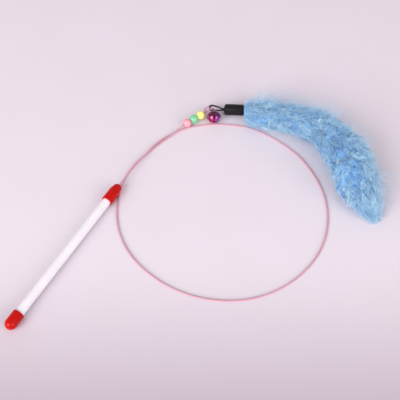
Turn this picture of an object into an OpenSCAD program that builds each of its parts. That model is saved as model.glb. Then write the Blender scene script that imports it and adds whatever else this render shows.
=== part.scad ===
// Cat teaser wand: a hollow handle, a long spring wire with three beads, a jingle bell and a feather lure.
// The origin is on the handle's axis, where the end cap's straight wall meets its dome.
// +X runs along the handle to the nozzle and +Z is up. The wand lies on the plane one cap radius below
// the axis. Places of the wire and the lure are measured from the nozzle's mouth, with heights above that
// plane, so they follow the handle.

/* [Handle] */
// Length of the handle's tube
tube_len = 155.6; // [120:0.1:240]
// Outer diameter of the tube
tube_d = 8; // [7:0.1:9]
// Wall of the tube
tube_wall = 1; // [0.6:0.1:1.5]

/* [Caps] */
// Outer diameter of both caps
cap_d = 10.7; // [10:0.1:13]
// How far the tube sits in the end cap
end_seat = 9.5; // [6:0.1:25]
// Solid floor between the end cap's dome and the tube
end_floor = 1.3; // [0.6:0.1:3]
// How far the tube sits in the nozzle cap
nozzle_seat = 13.4; // [8:0.1:25]
// Length of the nozzle's cone, past the tube
cone_len = 4.5; // [2:0.1:8]
// Diameter of the cone's small end, where the tip starts to round
cone_d = 8.6; // [7.6:0.1:9.6]
// Length of the nozzle's rounded tip
tip_len = 3.3; // [2.5:0.1:5]
// Diameter of the flat face round the wire's hole
tip_face_d = 3.2; // [2.4:0.1:4.4]
// Thickness of the wall that the wire leaves by
tip_wall = 1.6; // [1:0.1:2.4]

/* [Wire] */
// Diameter of the coated spring wire
wire_d = 1.5; // [1.2:0.05:1.7]
// Diameter of the sleeve crimped on the wire's inner end
stop_d = 3.6; // [2.8:0.1:4]
// Length of that sleeve
stop_len = 6; // [3:0.1:10]
// Inner width of the eye at the wire's far end
eye_gap = 2; // [1.8:0.05:2.6]
// Length of the eye's straight sides
eye_len = 4.7; // [3:0.1:10]
// Width of the loop that the wire lies in, across the handle's line
loop_w = 198.9; // [170:0.1:230]

/* [Beads] */
// Diameter of a bead
bead_d = 8.8; // [7:0.1:9.1]
// Length of a bead between its two flats
bead_len = 8; // [6:0.1:8.4]
// Free space between two beads
bead_gap = 0.3; // [0.1:0.05:0.6]

/* [Cord loop] */
// Diameter of the black cord
cord_d = 1.6; // [1:0.05:1.7]
// Distance from the wire's eye to the ferrule's nose
loop_len = 13.5; // [12.5:0.1:18]

/* [Ferrule] */
// Outer diameter of the ferrule
ferrule_d = 11.4; // [10:0.1:13]
// Length of the ferrule
ferrule_len = 21; // [18:0.1:30]
// Wall of the ferrule
ferrule_wall = 0.9; // [0.6:0.1:1.4]
// Length of the bullet-shaped shoulder
shoulder_len = 3.4; // [2.8:0.1:6]
// Diameter of the ball-shaped nose
nose_d = 4.4; // [4:0.1:5.4]

/* [Bell] */
// Diameter of the bell over its seam
bell_d = 14.4; // [12:0.1:15.4]
// How far the seam stands out from the shells
seam_out = 0.6; // [0.3:0.05:0.8]
// Thickness of each half of the seam
seam_half = 0.4; // [0.3:0.05:0.6]
// Thickness of the pressed shells
bell_wall = 0.5; // [0.3:0.05:0.7]
// Width of the crossed slits
slit_w = 0.9; // [0.5:0.05:1.4]
// Diameter of the round holes that end the slits
slit_end_d = 2; // [1.4:0.1:2.6]
// Angle from the bell's foot to the holes that end the slits
slit_angle = 48; // [35:1:60]
// Diameter of the wire that the shank is bent from
shank_wire_d = 0.9; // [0.6:0.05:1.1]
// Inner width of the shank's eye
shank_gap = 3; // [2.8:0.05:3.4]
// Free height between the shell and the middle of the shank's eye
shank_rise = 2.1; // [1.8:0.05:3]
// Diameter of the loose pellet
pellet_d = 3.8; // [2:0.1:5]

/* [Feathers] */
// Width of the feather body at its widest
boa_w = 45; // [32:1:50]
// Height of the feather body at its highest
boa_h = 32.5; // [24:0.5:38]
// How far the feather body reaches past the ferrule, along the ferrule's line
boa_reach = 122.5; // [100:0.1:150]
// Diameter of the string that the feathers are spun on
core_d = 1.6; // [1:0.1:2.4]
// Length of the bound root that fills the ferrule's mouth
root_len = 10; // [6:0.1:14]

/* [Clearances] */
// Radial clearance of the caps on the tube
cap_fit = 0.05; // [0.02:0.01:0.1]
// Radial clearance of the wire in its hole and its sleeve
wire_fit = 0.06; // [0.02:0.01:0.1]
// Clearance between the two strands in the beads, and of the strands in the beads' bores
strand_fit = 0.1; // [0.05:0.01:0.15]
// Clearance of the shank's legs in the shell, and of the pellet at rest
bell_fit = 0.05; // [0.02:0.01:0.1]
// Clearance of the bound root and the cord's ends in the ferrule
ferrule_fit = 0.05; // [0.02:0.01:0.1]
// Gap between the cord's strands and the ferrule's nose
nose_gap = 0.3; // [0.1:0.05:0.5]
// Clearance between soft parts and the plane that they lie on
rest_gap = 0.05; // [0.02:0.01:0.1]

/* [Hidden] */
$fn = 96;
cord_sides = 8;
boa_sides = 16;
cut = 1;

tube_r = tube_d / 2;
tube_bore_r = tube_r - tube_wall;
cap_r = cap_d / 2;
seat_r = tube_r + cap_fit;
tube_start = end_floor;
tube_end = tube_start + tube_len;
end_rim = end_floor + end_seat;
nozzle_rim = tube_end - nozzle_seat;
mouth = tube_end + cone_len + tip_len;
ground = -cap_r;

wire_r = wire_d / 2;
wire_hole_r = wire_r + wire_fit;
stop_end = mouth - tip_wall;
stop_start = stop_end - stop_len;
wire_tail = wire_d;

bead_r = bead_d / 2;
bead_pitch = bead_len + bead_gap;
strand_v = wire_r + strand_fit / 2;
bead_bore_r = strand_v + wire_r + strand_fit;

// The wire's route from the nozzle's mouth: along the handle, to its left, and height above the plane.
WIRE_ROUTE = [
    [9, 0.2, 5.2], [22, 0.4, 4.4], [36, 0, 3.5], [48, -0.8, 2.9], [62, -1.8, 2.1], [75, -5, 1.2],
    [88, -11.2, 0.75], [101, -20.6, 0.75], [112.5, -34.2, 0.75], [121.4, -49.4, 0.75],
    [128.2, -68, 0.75], [130, -88, 0.75], [127.5, -110, 0.75], [120, -134, 0.75], [105.5, -157, 0.75],
    [84, -178, 0.75], [57, -191.5, 0.75], [30, -196, 0.75], [2, -192, 0.75], [-24, -180.5, 0.75],
    [-46, -161, 0.75], [-60.5, -136, 0.75], [-67.5, -109, 0.75], [-67, -82, 0.75], [-59, -53, 0.75],
    [-43, -28.5, 0.75], [-25, -13.4, 0.75], [-10, -5.8, 0.75], [5, 0.1, 0.75], [20, 2.9, 0.75],
    [34, 2.8, 0.75], [48, 0.3, 0.75], [61, -3, 0.75], [73, -6.3, 1.2], [84, -10.2, 2.5]];
route_step = 15.5;
route_left = [for (p = WIRE_ROUTE) p[1]];
loop_scale = loop_w / (max(route_left) - min(route_left));

// Middle of the first bead, and the way the row of beads points.
BEAD_PLACE = [101.6, -16.5, 4.6];
bead_turn = -27.5;
bead_rise = 6.5;

// The doubled end of the wire, in the beads' frame: along the row, and to its left.
row_start = -bead_len / 2;
row_end = 2 * bead_pitch + bead_len / 2;
straight_share = 0.7;
straight_run = wire_d * straight_share;
eye_r = (eye_gap + wire_d) / 2;
eye_flare = 3 * wire_d;
eye_start = row_end + eye_flare;
eye_end = eye_start + eye_len;
eye_offset = eye_r + wire_r;
tail_start = row_start + wire_d;
WIRE_EYE = concat(
    [[row_start - straight_run, -strand_v], [row_start, -strand_v], [row_end, -strand_v],
     [row_end + straight_run, -strand_v], [eye_start, eye_offset - eye_r]],
    [for (a = [0 : 30 : 180]) [eye_end + eye_r * sin(a), eye_offset - eye_r * cos(a)]],
    [[eye_start, eye_offset + eye_r], [row_end + straight_run, strand_v], [row_end, strand_v],
     [tail_start, strand_v]]);

// The lure's frame stands at the middle of the eye's round end, level, and points at the ferrule.
lure_turn = -63.5;
cord_r = cord_d / 2;
ferrule_r = ferrule_d / 2;
EYE_PLACE = in_row([eye_end, eye_offset]);
ferrule_axis = ground + ferrule_r + rest_gap - EYE_PLACE[2];
nose_r = nose_d / 2;
neck_share = 0.8;
hinge_x = loop_len + nose_r;
knot_v = cord_r + strand_fit / 2;
cord_end = nose_r + nose_gap;
stub_end = sqrt(pow(nose_r, 2) - pow(knot_v + cord_r, 2));
nose_hole_r = knot_v + cord_r + ferrule_fit;
ferrule_bore_r = ferrule_r - ferrule_wall;
knot_room = ferrule_len - root_len - shoulder_len - ferrule_fit;
knot_r = min(knot_room / 2, ferrule_bore_r - ferrule_fit);

// Places along the cord loop, in the lure's frame, from the lower strand through the eye to the upper one.
shank_eye = [3.8, -3.6, -0.4];
CORD_ROUTE = concat(
    [[hinge_x - cord_end, -knot_v, ferrule_axis]],
    [[10, -2.2, -1.6], [7, -3.2, -0.9], [5.2, -3.55, -0.5], shank_eye, [2.4, -3.3, -0.8],
     [1.2, -2.2, -1.7], [0.3, -0.9, -2], [0, 0, -0.9], [0, 0, 0.9], [0.4, 0.8, 1.9], [2, 1.3, 1.7],
     [5, 1.3, 1.1], [9, 1.2, -0.4]],
    [[hinge_x - cord_end, knot_v, ferrule_axis]]);
cord_step = 1.4;

// The bell hangs on the lower strand and lies on its seam, rolled so that its eye faces partly up.
bell_turn = 5;
bell_roll = -35;
bell_r = bell_d / 2;
shell_r = bell_r - seam_out;
shell_inner_r = shell_r - bell_wall;
shank_r = (shank_gap + shank_wire_d) / 2;
shank_wire_r = shank_wire_d / 2;
bell_arm = shell_r + shank_rise;
bell_drop = EYE_PLACE[2] + shank_eye[2] - ground - bell_r - rest_gap;
bell_tilt = asin(bell_drop / bell_arm);
foot_r = shell_inner_r - shank_wire_r - bell_fit;
leg_angle = asin(shank_r / foot_r);
foot_bend = 19;
foot_angle = leg_angle + foot_bend;
knuckle_share = 1.06;
pellet_r = pellet_d / 2;
pellet_drop = shell_inner_r - pellet_r - bell_fit;

// Middle line of the feather body from the ferrule's mouth, in the lure's frame, along and to the left,
// then its shares of the full width and height at each of those places.
root_mouth = loop_len + ferrule_len;
BOA_ROUTE = [
    [0.3, 0], [3, -0.05], [6.5, -2.1], [11, -6.4], [18, -9.5], [31.5, -10], [52.5, -15.8], [69, -22.2],
    [82.5, -31], [91.7, -44.2], [99.9, -60], [105.2, -76.2], [109.5, -96], [113.8, -108.3],
    [119.1, -120.8], [122.5, -128]];
boa_width_shares = [0.235, 0.345, 0.49, 0.6, 0.63, 0.63, 0.74, 0.81,
                    0.81, 0.89, 1, 1, 0.92, 0.79, 0.48, 0.14];
boa_height_shares = [0.343, 0.4, 0.53, 0.63, 0.67, 0.67, 0.78, 0.84,
                     0.83, 0.9, 1, 1, 0.92, 0.79, 0.49, 0.16];
boa_scale = boa_reach / BOA_ROUTE[len(BOA_ROUTE) - 1][0];
boa_step = 7;

function unit(v) = v / norm(v);
function from_mouth(p) = [mouth + p[0], p[1], ground + p[2]];
function row_way() = [cos(bead_turn) * cos(bead_rise), sin(bead_turn) * cos(bead_rise), sin(bead_rise)];
function row_side() = [-sin(bead_turn), cos(bead_turn), 0];
function in_loop(p) = from_mouth([p[0] * loop_scale, p[1] * loop_scale, p[2]]);
function in_row(p) = in_loop(BEAD_PLACE) + p[0] * row_way() + p[1] * row_side();

// A smooth curve through hand-chosen points: each stretch is cubic, and the shorter neighbour of a
// point counts for more in the curve's direction there.
function chord(p, i) = norm(p[i + 1] - p[i]);
function heading(p, i) =
    i == 0 ? unit(p[1] - p[0])
    : i == len(p) - 1 ? unit(p[i] - p[i - 1])
    : let (a = chord(p, i - 1), b = chord(p, i))
      ((p[i] - p[i - 1]) / a * b + (p[i + 1] - p[i]) / b * a) / (a + b);
function cubic(p, q, m, n, t) =
    p * (2 * pow(t, 3) - 3 * pow(t, 2) + 1) + m * (pow(t, 3) - 2 * pow(t, 2) + t)
    + q * (3 * pow(t, 2) - 2 * pow(t, 3)) + n * (pow(t, 3) - pow(t, 2));
function curve(p, step) = concat(
    [for (i = [0 : len(p) - 2])
        let (d = chord(p, i), n = ceil(d / step), m = heading(p, i) * d, k = heading(p, i + 1) * d)
        for (j = [0 : n - 1]) cubic(p[i], p[i + 1], m, k, j / n)],
    [p[len(p) - 1]]);

// Directions along a curve, and normals carried along it without twist.
function ways(p) = [for (i = [0 : len(p) - 1]) unit(p[min(i + 1, len(p) - 1)] - p[max(i - 1, 0)])];
function square_to(n, w) = unit(n - (n * w) * w);
function normals(w, up) =
    [for (i = 0, n = square_to(up, w[0]); i < len(w); i = i + 1, n = i < len(w) ? square_to(n, w[i]) : n) n];

// A closed skin over rings that all have the same number of points, as triangles.
module skin(rings) {
    sides = len(rings[0]);
    last = len(rings) - 1;
    polyhedron(
        points = [for (ring = rings) for (p = ring) p],
        faces = concat(
            [for (k = [1 : sides - 2]) [0, k, k + 1]],
            [for (k = [1 : sides - 2]) [last * sides, last * sides + k + 1, last * sides + k]],
            [for (i = [0 : last - 1]) for (k = [0 : sides - 1])
                let (a = i * sides + k, b = i * sides + (k + 1) % sides)
                each [[a, a + sides, b], [b, a + sides, b + sides]]]));
}

// A round cord along a curve. Its flats lie level where the curve does.
module cord(p, r, up = [0, 0, 1]) {
    w = ways(p);
    n = normals(w, up);
    skin([for (i = [0 : len(p) - 1]) [for (k = [0 : cord_sides - 1])
        let (a = 360 * (k + 0.5) / cord_sides)
        p[i] + r * (cos(a) * n[i] + sin(a) * cross(w[i], n[i]))]]);
}

// Turns a shape that was revolved about Z so that its axis runs along +X.
module along_x() {
    rotate([0, 90, 0]) children();
}

// Quarter of an ellipse from its end on the axis side to its shoulder, as outline points.
function rounding(x0, x1, r0, r1) =
    [for (a = [0 : 10 : 90]) [r0 + (r1 - r0) * sin(a), x1 - (x1 - x0) * cos(a)]];

module handle_tube() {
    color([0.96, 0.95, 0.94]) along_x() translate([0, 0, tube_start]) difference() {
        cylinder(r = tube_r, h = tube_len);
        translate([0, 0, -cut]) cylinder(r = tube_bore_r, h = tube_len + 2 * cut);
    }
}

module end_cap() {
    color([0.8, 0.08, 0.02]) along_x() difference() {
        union() {
            sphere(r = cap_r);
            cylinder(r = cap_r, h = end_rim);
        }
        translate([0, 0, tube_start]) cylinder(r = seat_r, h = end_seat + cut);
        cylinder(r = tube_bore_r, h = end_floor + cut);
        sphere(r = tube_bore_r);
    }
}

module nozzle_cap() {
    cone_end = tube_end + cone_len;
    hollow_r = (tube_bore_r + stop_d / 2) / 2;
    color([0.8, 0.08, 0.02]) along_x() difference() {
        rotate_extrude() difference() {
            union() {
                translate([0, nozzle_rim]) square([cap_r, nozzle_seat]);
                polygon([[0, tube_end], [cap_r, tube_end], [cone_d / 2, cone_end], [0, cone_end]]);
                nozzle_tip(cone_end);
            }
            translate([0, nozzle_rim - cut]) square([seat_r, nozzle_seat + cut]);
        }
        rotate_extrude() polygon([[0, tube_end - cut], [tube_bore_r, tube_end - cut],
            [tube_bore_r, tube_end], [hollow_r, stop_end], [0, stop_end]]);
        translate([0, 0, stop_end - cut]) cylinder(r = wire_hole_r, h = tip_wall + 2 * cut);
    }
}

// Half outline of the nozzle's rounded tip, from the cone to the flat face.
module nozzle_tip(cone_end) {
    round_r = (cone_d - tip_face_d) / 2;
    polygon(concat([[0, cone_end], [cone_d / 2, cone_end]],
        [for (a = [10 : 10 : 90]) [tip_face_d / 2 + round_r * cos(a), cone_end + tip_len * sin(a)]],
        [[0, mouth]]));
}

module wire_stop() {
    color([0.72, 0.73, 0.75]) along_x() translate([0, 0, stop_start]) difference() {
        cylinder(r = stop_d / 2, h = stop_len);
        translate([0, 0, -cut]) cylinder(r = wire_hole_r, h = stop_len + 2 * cut);
    }
}

module teaser_wire() {
    lead = [[stop_start - wire_tail, 0, 0], [mouth, 0, 0]];
    free_run = [for (p = WIRE_ROUTE) in_loop(p)];
    doubled_end = [for (p = WIRE_EYE) in_row(p)];
    color([0.86, 0.55, 0.66]) cord(curve(concat(lead, free_run, doubled_end), route_step), wire_r);
}

module bead(i) {
    translate(in_row([i * bead_pitch, 0])) rotate([0, -bead_rise, bead_turn]) along_x() difference() {
        intersection() {
            sphere(r = bead_r);
            translate([0, 0, -bead_len / 2]) cylinder(r = bead_d, h = bead_len);
        }
        translate([0, 0, -bead_len]) cylinder(r = bead_bore_r, h = 2 * bead_len);
    }
}

module bead_pink() {
    color([1, 0.68, 0.72]) bead(0);
}

module bead_green() {
    color([0.55, 0.86, 0.66]) bead(1);
}

module bead_yellow() {
    color([0.98, 0.97, 0.55]) bead(2);
}

// Places its children in the lure's frame.
module at_lure() {
    translate(EYE_PLACE) rotate([0, 0, lure_turn]) children();
}

// Places its children on the ferrule's axis, with its nose at zero, pointing along +Z before the turn.
module at_ferrule() {
    at_lure() translate([loop_len, 0, ferrule_axis]) along_x() children();
}

module cord_loop() {
    color([0.08, 0.07, 0.09]) at_lure() cord(curve(CORD_ROUTE, cord_step), cord_r);
}

module cord_knot() {
    knot_place = ferrule_len - root_len - ferrule_fit - knot_r;
    color([0.08, 0.07, 0.09]) at_ferrule() {
        translate([0, 0, knot_place]) sphere(r = knot_r);
        for (side = [-1, 1]) translate([0, side * knot_v, nose_r - stub_end])
            cylinder(r = cord_r, h = knot_place + stub_end - nose_r);
    }
}

module feather_ferrule() {
    color([0.14, 0.13, 0.16]) at_ferrule() difference() {
        union() {
            translate([0, 0, nose_r]) sphere(r = nose_r);
            rotate_extrude() polygon(concat([[0, nose_r / 2]],
                rounding(nose_r / 2, shoulder_len, nose_r * neck_share, ferrule_r),
                [[ferrule_r, ferrule_len], [0, ferrule_len]]));
        }
        translate([0, 0, shoulder_len]) cylinder(r = ferrule_bore_r, h = ferrule_len);
        translate([0, 0, -cut]) cylinder(r = nose_hole_r, h = shoulder_len + 2 * cut);
    }
}

function boa_place(i) = [root_mouth + BOA_ROUTE[i][0] * boa_scale, BOA_ROUTE[i][1] * boa_scale,
    ground - EYE_PLACE[2] + rest_gap + boa_h / 2 * boa_height_shares[i]];

module feather_core() {
    middle = [for (i = [1 : len(BOA_ROUTE) - 2]) boa_place(i)];
    color([0.83, 0.9, 0.94]) {
        at_ferrule() translate([0, 0, ferrule_len - root_len])
            cylinder(r = ferrule_bore_r - ferrule_fit, h = root_len);
        at_lure() cord(curve(concat([[root_mouth - root_len / 2, 0, ferrule_axis],
            [root_mouth, 0, ferrule_axis]], middle), 2 * boa_step), core_d / 2);
    }
}

module feather_boa() {
    places = [for (i = [0 : len(BOA_ROUTE) - 1]) boa_place(i)];
    sizes = [for (i = [0 : len(BOA_ROUTE) - 1])
        [boa_w * boa_width_shares[i], boa_h * boa_height_shares[i], 0] / 2];
    joined = [for (i = [0 : len(BOA_ROUTE) - 1]) concat(places[i], sizes[i])];
    line = curve(joined, boa_step);
    w = ways([for (q = line) [q[0], q[1], 0]]);
    color([0.55, 0.75, 0.9]) at_lure() skin([for (i = [0 : len(line) - 1]) [for (k = [0 : boa_sides - 1])
        let (a = 360 * (k + 0.5) / boa_sides, q = line[i])
        [q[0], q[1], q[2]] + q[3] * sin(a) * cross([0, 0, 1], w[i]) + q[4] * cos(a) * [0, 0, 1]]]);
}

// Places its children in the bell's frame: zero at the bell's middle, with +Z to the shank.
module at_bell() {
    at_lure() translate(shank_eye) rotate([0, 0, bell_turn]) rotate([bell_tilt - 90, 0, 0])
        rotate([0, 0, bell_roll]) translate([0, 0, -bell_arm]) children();
}

// Half of the bell's hollow shell, with the dome toward +Z.
module half_shell() {
    difference() {
        intersection() {
            sphere(r = shell_r);
            cylinder(r = shell_r + cut, h = shell_r + cut);
        }
        sphere(r = shell_inner_r);
    }
}

// Flat ring round the seam.
module seam_ring(inner_r, outer_r, low, high) {
    translate([0, 0, low]) difference() {
        cylinder(r = outer_r, h = high - low);
        translate([0, 0, -cut]) cylinder(r = inner_r, h = high - low + 2 * cut);
    }
}

module bell_top() {
    color([0.78, 0.12, 0.5]) at_bell() difference() {
        union() {
            half_shell();
            seam_ring(shell_r - bell_wall / 2, bell_r, 0, seam_half);
            seam_ring(bell_r - seam_out / 2, bell_r, -seam_half, 0);
        }
        sphere(r = shell_inner_r);
        for (side = [-1, 1]) translate([0, side * shank_r, 0])
            cylinder(r = shank_wire_r + bell_fit, h = shell_r + cut);
    }
}

module bell_base() {
    color([0.78, 0.12, 0.5]) at_bell() difference() {
        union() {
            mirror([0, 0, 1]) half_shell();
            seam_ring(shell_r - bell_wall / 2, bell_r - seam_out / 2 - bell_fit, -seam_half, 0);
        }
        sphere(r = shell_inner_r);
        for (turn = [45, 135]) rotate([0, 0, turn]) slit();
    }
}

// One slit across the bell's foot with a round hole at each end.
module slit() {
    reach = shell_r * sin(slit_angle);
    translate([-reach, -slit_w / 2, -shell_r - cut]) cube([2 * reach, slit_w, shell_r + cut - seam_half]);
    for (side = [-1, 1]) rotate([0, side * (180 - slit_angle), 0])
        translate([0, 0, shell_inner_r / 2]) cylinder(r = slit_end_d / 2, h = shell_r);
}

module bell_shank() {
    color([0.78, 0.12, 0.5]) at_bell() {
        translate([0, 0, bell_arm]) rotate([90, 0, 90])
            rotate_extrude(angle = 180) translate([shank_r, 0]) circle(r = shank_wire_r);
        for (turn = [0, 180]) rotate([0, 0, turn]) {
            translate([0, shank_r, foot_r * cos(leg_angle)])
                cylinder(r = shank_wire_r, h = bell_arm - foot_r * cos(leg_angle));
            shank_foot();
        }
    }
}

// The part of a leg that is bent out under the shell.
module shank_foot() {
    from = foot_r * [0, sin(leg_angle), cos(leg_angle)];
    to = foot_r * [0, sin(foot_angle), cos(foot_angle)];
    translate(from) sphere(r = shank_wire_r * knuckle_share);
    translate(from) rotate([-(leg_angle + foot_angle) / 2 - 90, 0, 0])
        cylinder(r = shank_wire_r, h = norm(to - from));
}

module bell_pellet() {
    color([0.6, 0.6, 0.62]) at_lure() translate(shank_eye) rotate([0, 0, bell_turn])
        translate([0, -bell_arm * cos(bell_tilt), -bell_arm * sin(bell_tilt) - pellet_drop])
            sphere(r = pellet_r);
}

handle_tube();
end_cap();
nozzle_cap();
wire_stop();
teaser_wire();
bead_pink();
bead_green();
bead_yellow();
cord_loop();
cord_knot();
feather_ferrule();
feather_core();
feather_boa();
bell_top();
bell_base();
bell_shank();
bell_pellet();
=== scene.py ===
"""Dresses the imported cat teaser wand: its hard pieces, spring wire, cord loop, jingle bell and feather lure."""

import logging
import math
from dataclasses import dataclass, field
from enum import Enum
from typing import Any, ClassVar, Sequence

import bmesh
import bpy
import numpy as np
from mathutils import Matrix, Vector


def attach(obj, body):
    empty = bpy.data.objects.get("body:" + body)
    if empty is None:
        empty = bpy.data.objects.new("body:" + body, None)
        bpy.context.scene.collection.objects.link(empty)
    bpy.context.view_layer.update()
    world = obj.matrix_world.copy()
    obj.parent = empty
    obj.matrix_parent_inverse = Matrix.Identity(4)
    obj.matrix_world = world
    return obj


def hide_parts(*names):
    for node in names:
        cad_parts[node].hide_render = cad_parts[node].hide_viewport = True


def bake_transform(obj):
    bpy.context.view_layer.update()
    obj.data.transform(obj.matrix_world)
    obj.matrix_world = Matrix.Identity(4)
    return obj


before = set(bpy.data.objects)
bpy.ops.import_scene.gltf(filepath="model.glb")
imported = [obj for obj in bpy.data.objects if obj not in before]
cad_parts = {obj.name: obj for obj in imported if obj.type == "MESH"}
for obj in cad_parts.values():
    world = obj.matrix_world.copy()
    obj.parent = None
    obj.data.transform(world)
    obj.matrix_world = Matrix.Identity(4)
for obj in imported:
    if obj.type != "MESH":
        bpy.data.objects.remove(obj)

# Short names for the types that the hints use most. A Point is in metres, unless its place says otherwise.
Tree, Node, Socket = bpy.types.NodeTree, bpy.types.Node, bpy.types.NodeSocket
Piece, Array, Random = bpy.types.Object, np.ndarray, np.random.Generator
Point = tuple[float, float, float]

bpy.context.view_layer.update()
LOG = logging.getLogger("teaser_wand")
MM = 0.001
# The map along cords and wires, and what each point of the down carries: its dye, with painted light and painted shade
# added in places, and how far it has paled.
SURFACE_MAP = "length_map"
DYE_AND_PAINTED_LIGHT = "dye"
TIP = "tip"
# The turn in radians from each plume to the next, which spreads them evenly round the string.
GOLDEN_TURN = 2.39996


# --- Colours and nodes ----------------------------------------------------------------------------------


def linear(colour: str) -> tuple[float, float, float, float]:
    """Turns an sRGB hex colour into linear red, green, blue and alpha.

    Args:
        colour: Six hex digits after a hash.

    Returns:
        The four values that a colour socket takes.
    """
    parts = [int(colour[i : i + 2], 16) / 255 for i in (1, 3, 5)]
    values = [p / 12.92 if p <= 0.04045 else ((p + 0.055) / 1.055) ** 2.4 for p in parts]
    return values[0], values[1], values[2], 1.0


def add_node(
    tree: Tree, kind: str, settings: dict[str, Any] | None = None, inputs: dict[str | int, Any] | None = None,
) -> Node:
    """Adds a shader node with its settings, its values and the links into it.

    Args:
        tree: The node tree to add to.
        kind: The node's type name.
        settings: Properties of the node by name.
        inputs: Values or sockets by the name or number of the input.

    Returns:
        The new node.
    """
    node = tree.nodes.new(kind)
    for name, value in (settings or {}).items():
        setattr(node, name, value)
    for key, value in (inputs or {}).items():
        if isinstance(value, Socket):
            tree.links.new(value, node.inputs[key])
        else:
            node.inputs[key].default_value = value
    return node


# --- Finishes -------------------------------------------------------------------------------------------


class Place(Enum):
    """What a finish's pattern is laid out on."""

    OBJECT = "the object's own coordinates"
    LENGTH_MAP = "the map that follows a cord's or wire's length"


@dataclass(frozen=True)
class Wiring:
    """What a pattern is wired into: a material's node tree, its Principled node, and the pattern's coordinates."""

    tree: Tree
    shader: Node
    where: Socket


@dataclass(frozen=True)
class Finish:
    """A surface finish: its material's common name, the colour and shade that its pattern mixes, and its gloss."""

    name: str
    colour: str
    shade: str
    roughness: float = 0.4
    ior: float = 1.5
    place: ClassVar[Place] = Place.OBJECT
    all_over: ClassVar[dict[str, Any]] = {}

    def material(self) -> bpy.types.Material:
        """Makes the finish's Blender material, once.

        Returns:
            The material, with this finish's pattern wired into one Principled shader.
        """
        made = bpy.data.materials.get(self.name)
        if made:
            return made
        made = bpy.data.materials.new(self.name)
        made.use_nodes = True
        tree = made.node_tree
        tree.nodes.clear()
        shader = add_node(tree, "ShaderNodeBsdfPrincipled", inputs={
            "IOR": self.ior, "Roughness": self.roughness, **self.all_over})
        add_node(tree, "ShaderNodeOutputMaterial", inputs={"Surface": shader.outputs["BSDF"]})
        if self.place is Place.OBJECT:
            where = add_node(tree, "ShaderNodeTexCoord").outputs["Object"]
        else:
            where = add_node(tree, "ShaderNodeUVMap", {"uv_map": SURFACE_MAP}).outputs["UV"]
        self.wire_up(Wiring(tree, shader, where))
        return made

    def wire_up(self, on: Wiring) -> None:
        """Wires the finish's own pattern. Each kind of finish has its own.

        Args:
            on: What the pattern is wired into.
        """
        raise NotImplementedError

    def dapple(
        self, on: Wiring, patch: float, detail: float = 3.0, swirl: float = 0.0,
        edges: tuple[float, float] = (0.35, 0.65),
    ) -> None:
        """Wires soft patches of the shade into the colour.

        Args:
            on: What the patches are wired into.
            patch: Size of a patch in metres.
            detail: Levels of finer patches in each.
            swirl: How far the patches are stirred.
            edges: The noise at which the colour ends and the shade is full.
        """
        noise = add_node(on.tree, "ShaderNodeTexNoise", inputs={
            "Vector": on.where, "Scale": 1 / patch, "Detail": detail, "Distortion": swirl})
        share = add_node(on.tree, "ShaderNodeMapRange", inputs={
            "Value": noise.outputs["Fac"], "From Min": edges[0], "From Max": edges[1]})
        mix = add_node(on.tree, "ShaderNodeMix", {"data_type": "RGBA"}, {
            0: share.outputs["Result"], 6: linear(self.colour), 7: linear(self.shade)})
        on.tree.links.new(mix.outputs[2], on.shader.inputs["Base Color"])

    def dull(
        self, on: Wiring, patch: float, detail: float,
        edges: tuple[float, float], spread: float,
    ) -> None:
        """Wires patches where handling and wear have taken some of the gloss.

        Args:
            on: What the patches are wired into.
            patch: Size of a patch in metres.
            detail: Levels of finer patches in each.
            edges: The noise at which the dullness starts and is full.
            spread: How much rougher the dullest patches are.
        """
        noise = add_node(on.tree, "ShaderNodeTexNoise", inputs={
            "Vector": on.where, "Scale": 1 / patch, "Detail": detail})
        gloss = add_node(on.tree, "ShaderNodeMapRange", inputs={
            "Value": noise.outputs["Fac"], "From Min": edges[0], "From Max": edges[1],
            "To Min": self.roughness, "To Max": self.roughness + spread})
        on.tree.links.new(gloss.outputs["Result"], on.shader.inputs["Roughness"])

    def roughen(
        self, on: Wiring, grain: float, depth: float, detail: float = 2.0,
        swirl: float = 0.0,
    ) -> None:
        """Wires a fine relief into the surface.

        Args:
            on: What the relief is wired into.
            grain: Size of one grain, in the unit of the coordinates.
            depth: Depth of the relief in metres.
            detail: Levels of finer relief in each grain.
            swirl: How far the grains are drawn into curls.
        """
        noise = add_node(on.tree, "ShaderNodeTexNoise", inputs={
            "Vector": on.where, "Scale": 1 / grain, "Detail": detail, "Distortion": swirl})
        bump = add_node(on.tree, "ShaderNodeBump", inputs={
            "Height": noise.outputs["Fac"], "Distance": depth, "Strength": 1.0})
        on.tree.links.new(bump.outputs["Normal"], on.shader.inputs["Normal"])

    def put_on(self, piece: Piece, slot: str | None = None) -> None:
        """Gives a piece this finish in its only material slot.

        Args:
            piece: The object to dress.
            slot: The record's material slot, for a new piece; not used.
        """
        piece.data.materials.clear()
        piece.data.materials.append(self.material())


@dataclass(frozen=True)
class MouldedPlastic(Finish):
    """Injection-moulded plastic: glossy, with a faint orange peel and handling marks in the gloss."""

    patch: float = 4 * MM
    peel: float = 0.9 * MM
    peel_depth: float = 0.012 * MM
    smudge: float = 5 * MM
    gloss_spread: float = 0.08
    shine: float = 0.5

    def wire_up(self, on: Wiring) -> None:
        """Wires soft colour patches, smudged gloss and the peel.

        Args:
            on: What the pattern is wired into.
        """
        self.dapple(on, self.patch)
        self.dull(on, self.smudge, 4.0, (0.3, 0.7), self.gloss_spread)
        self.roughen(on, self.peel, self.peel_depth, 1.0)
        on.shader.inputs["Specular IOR Level"].default_value = self.shine


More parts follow.
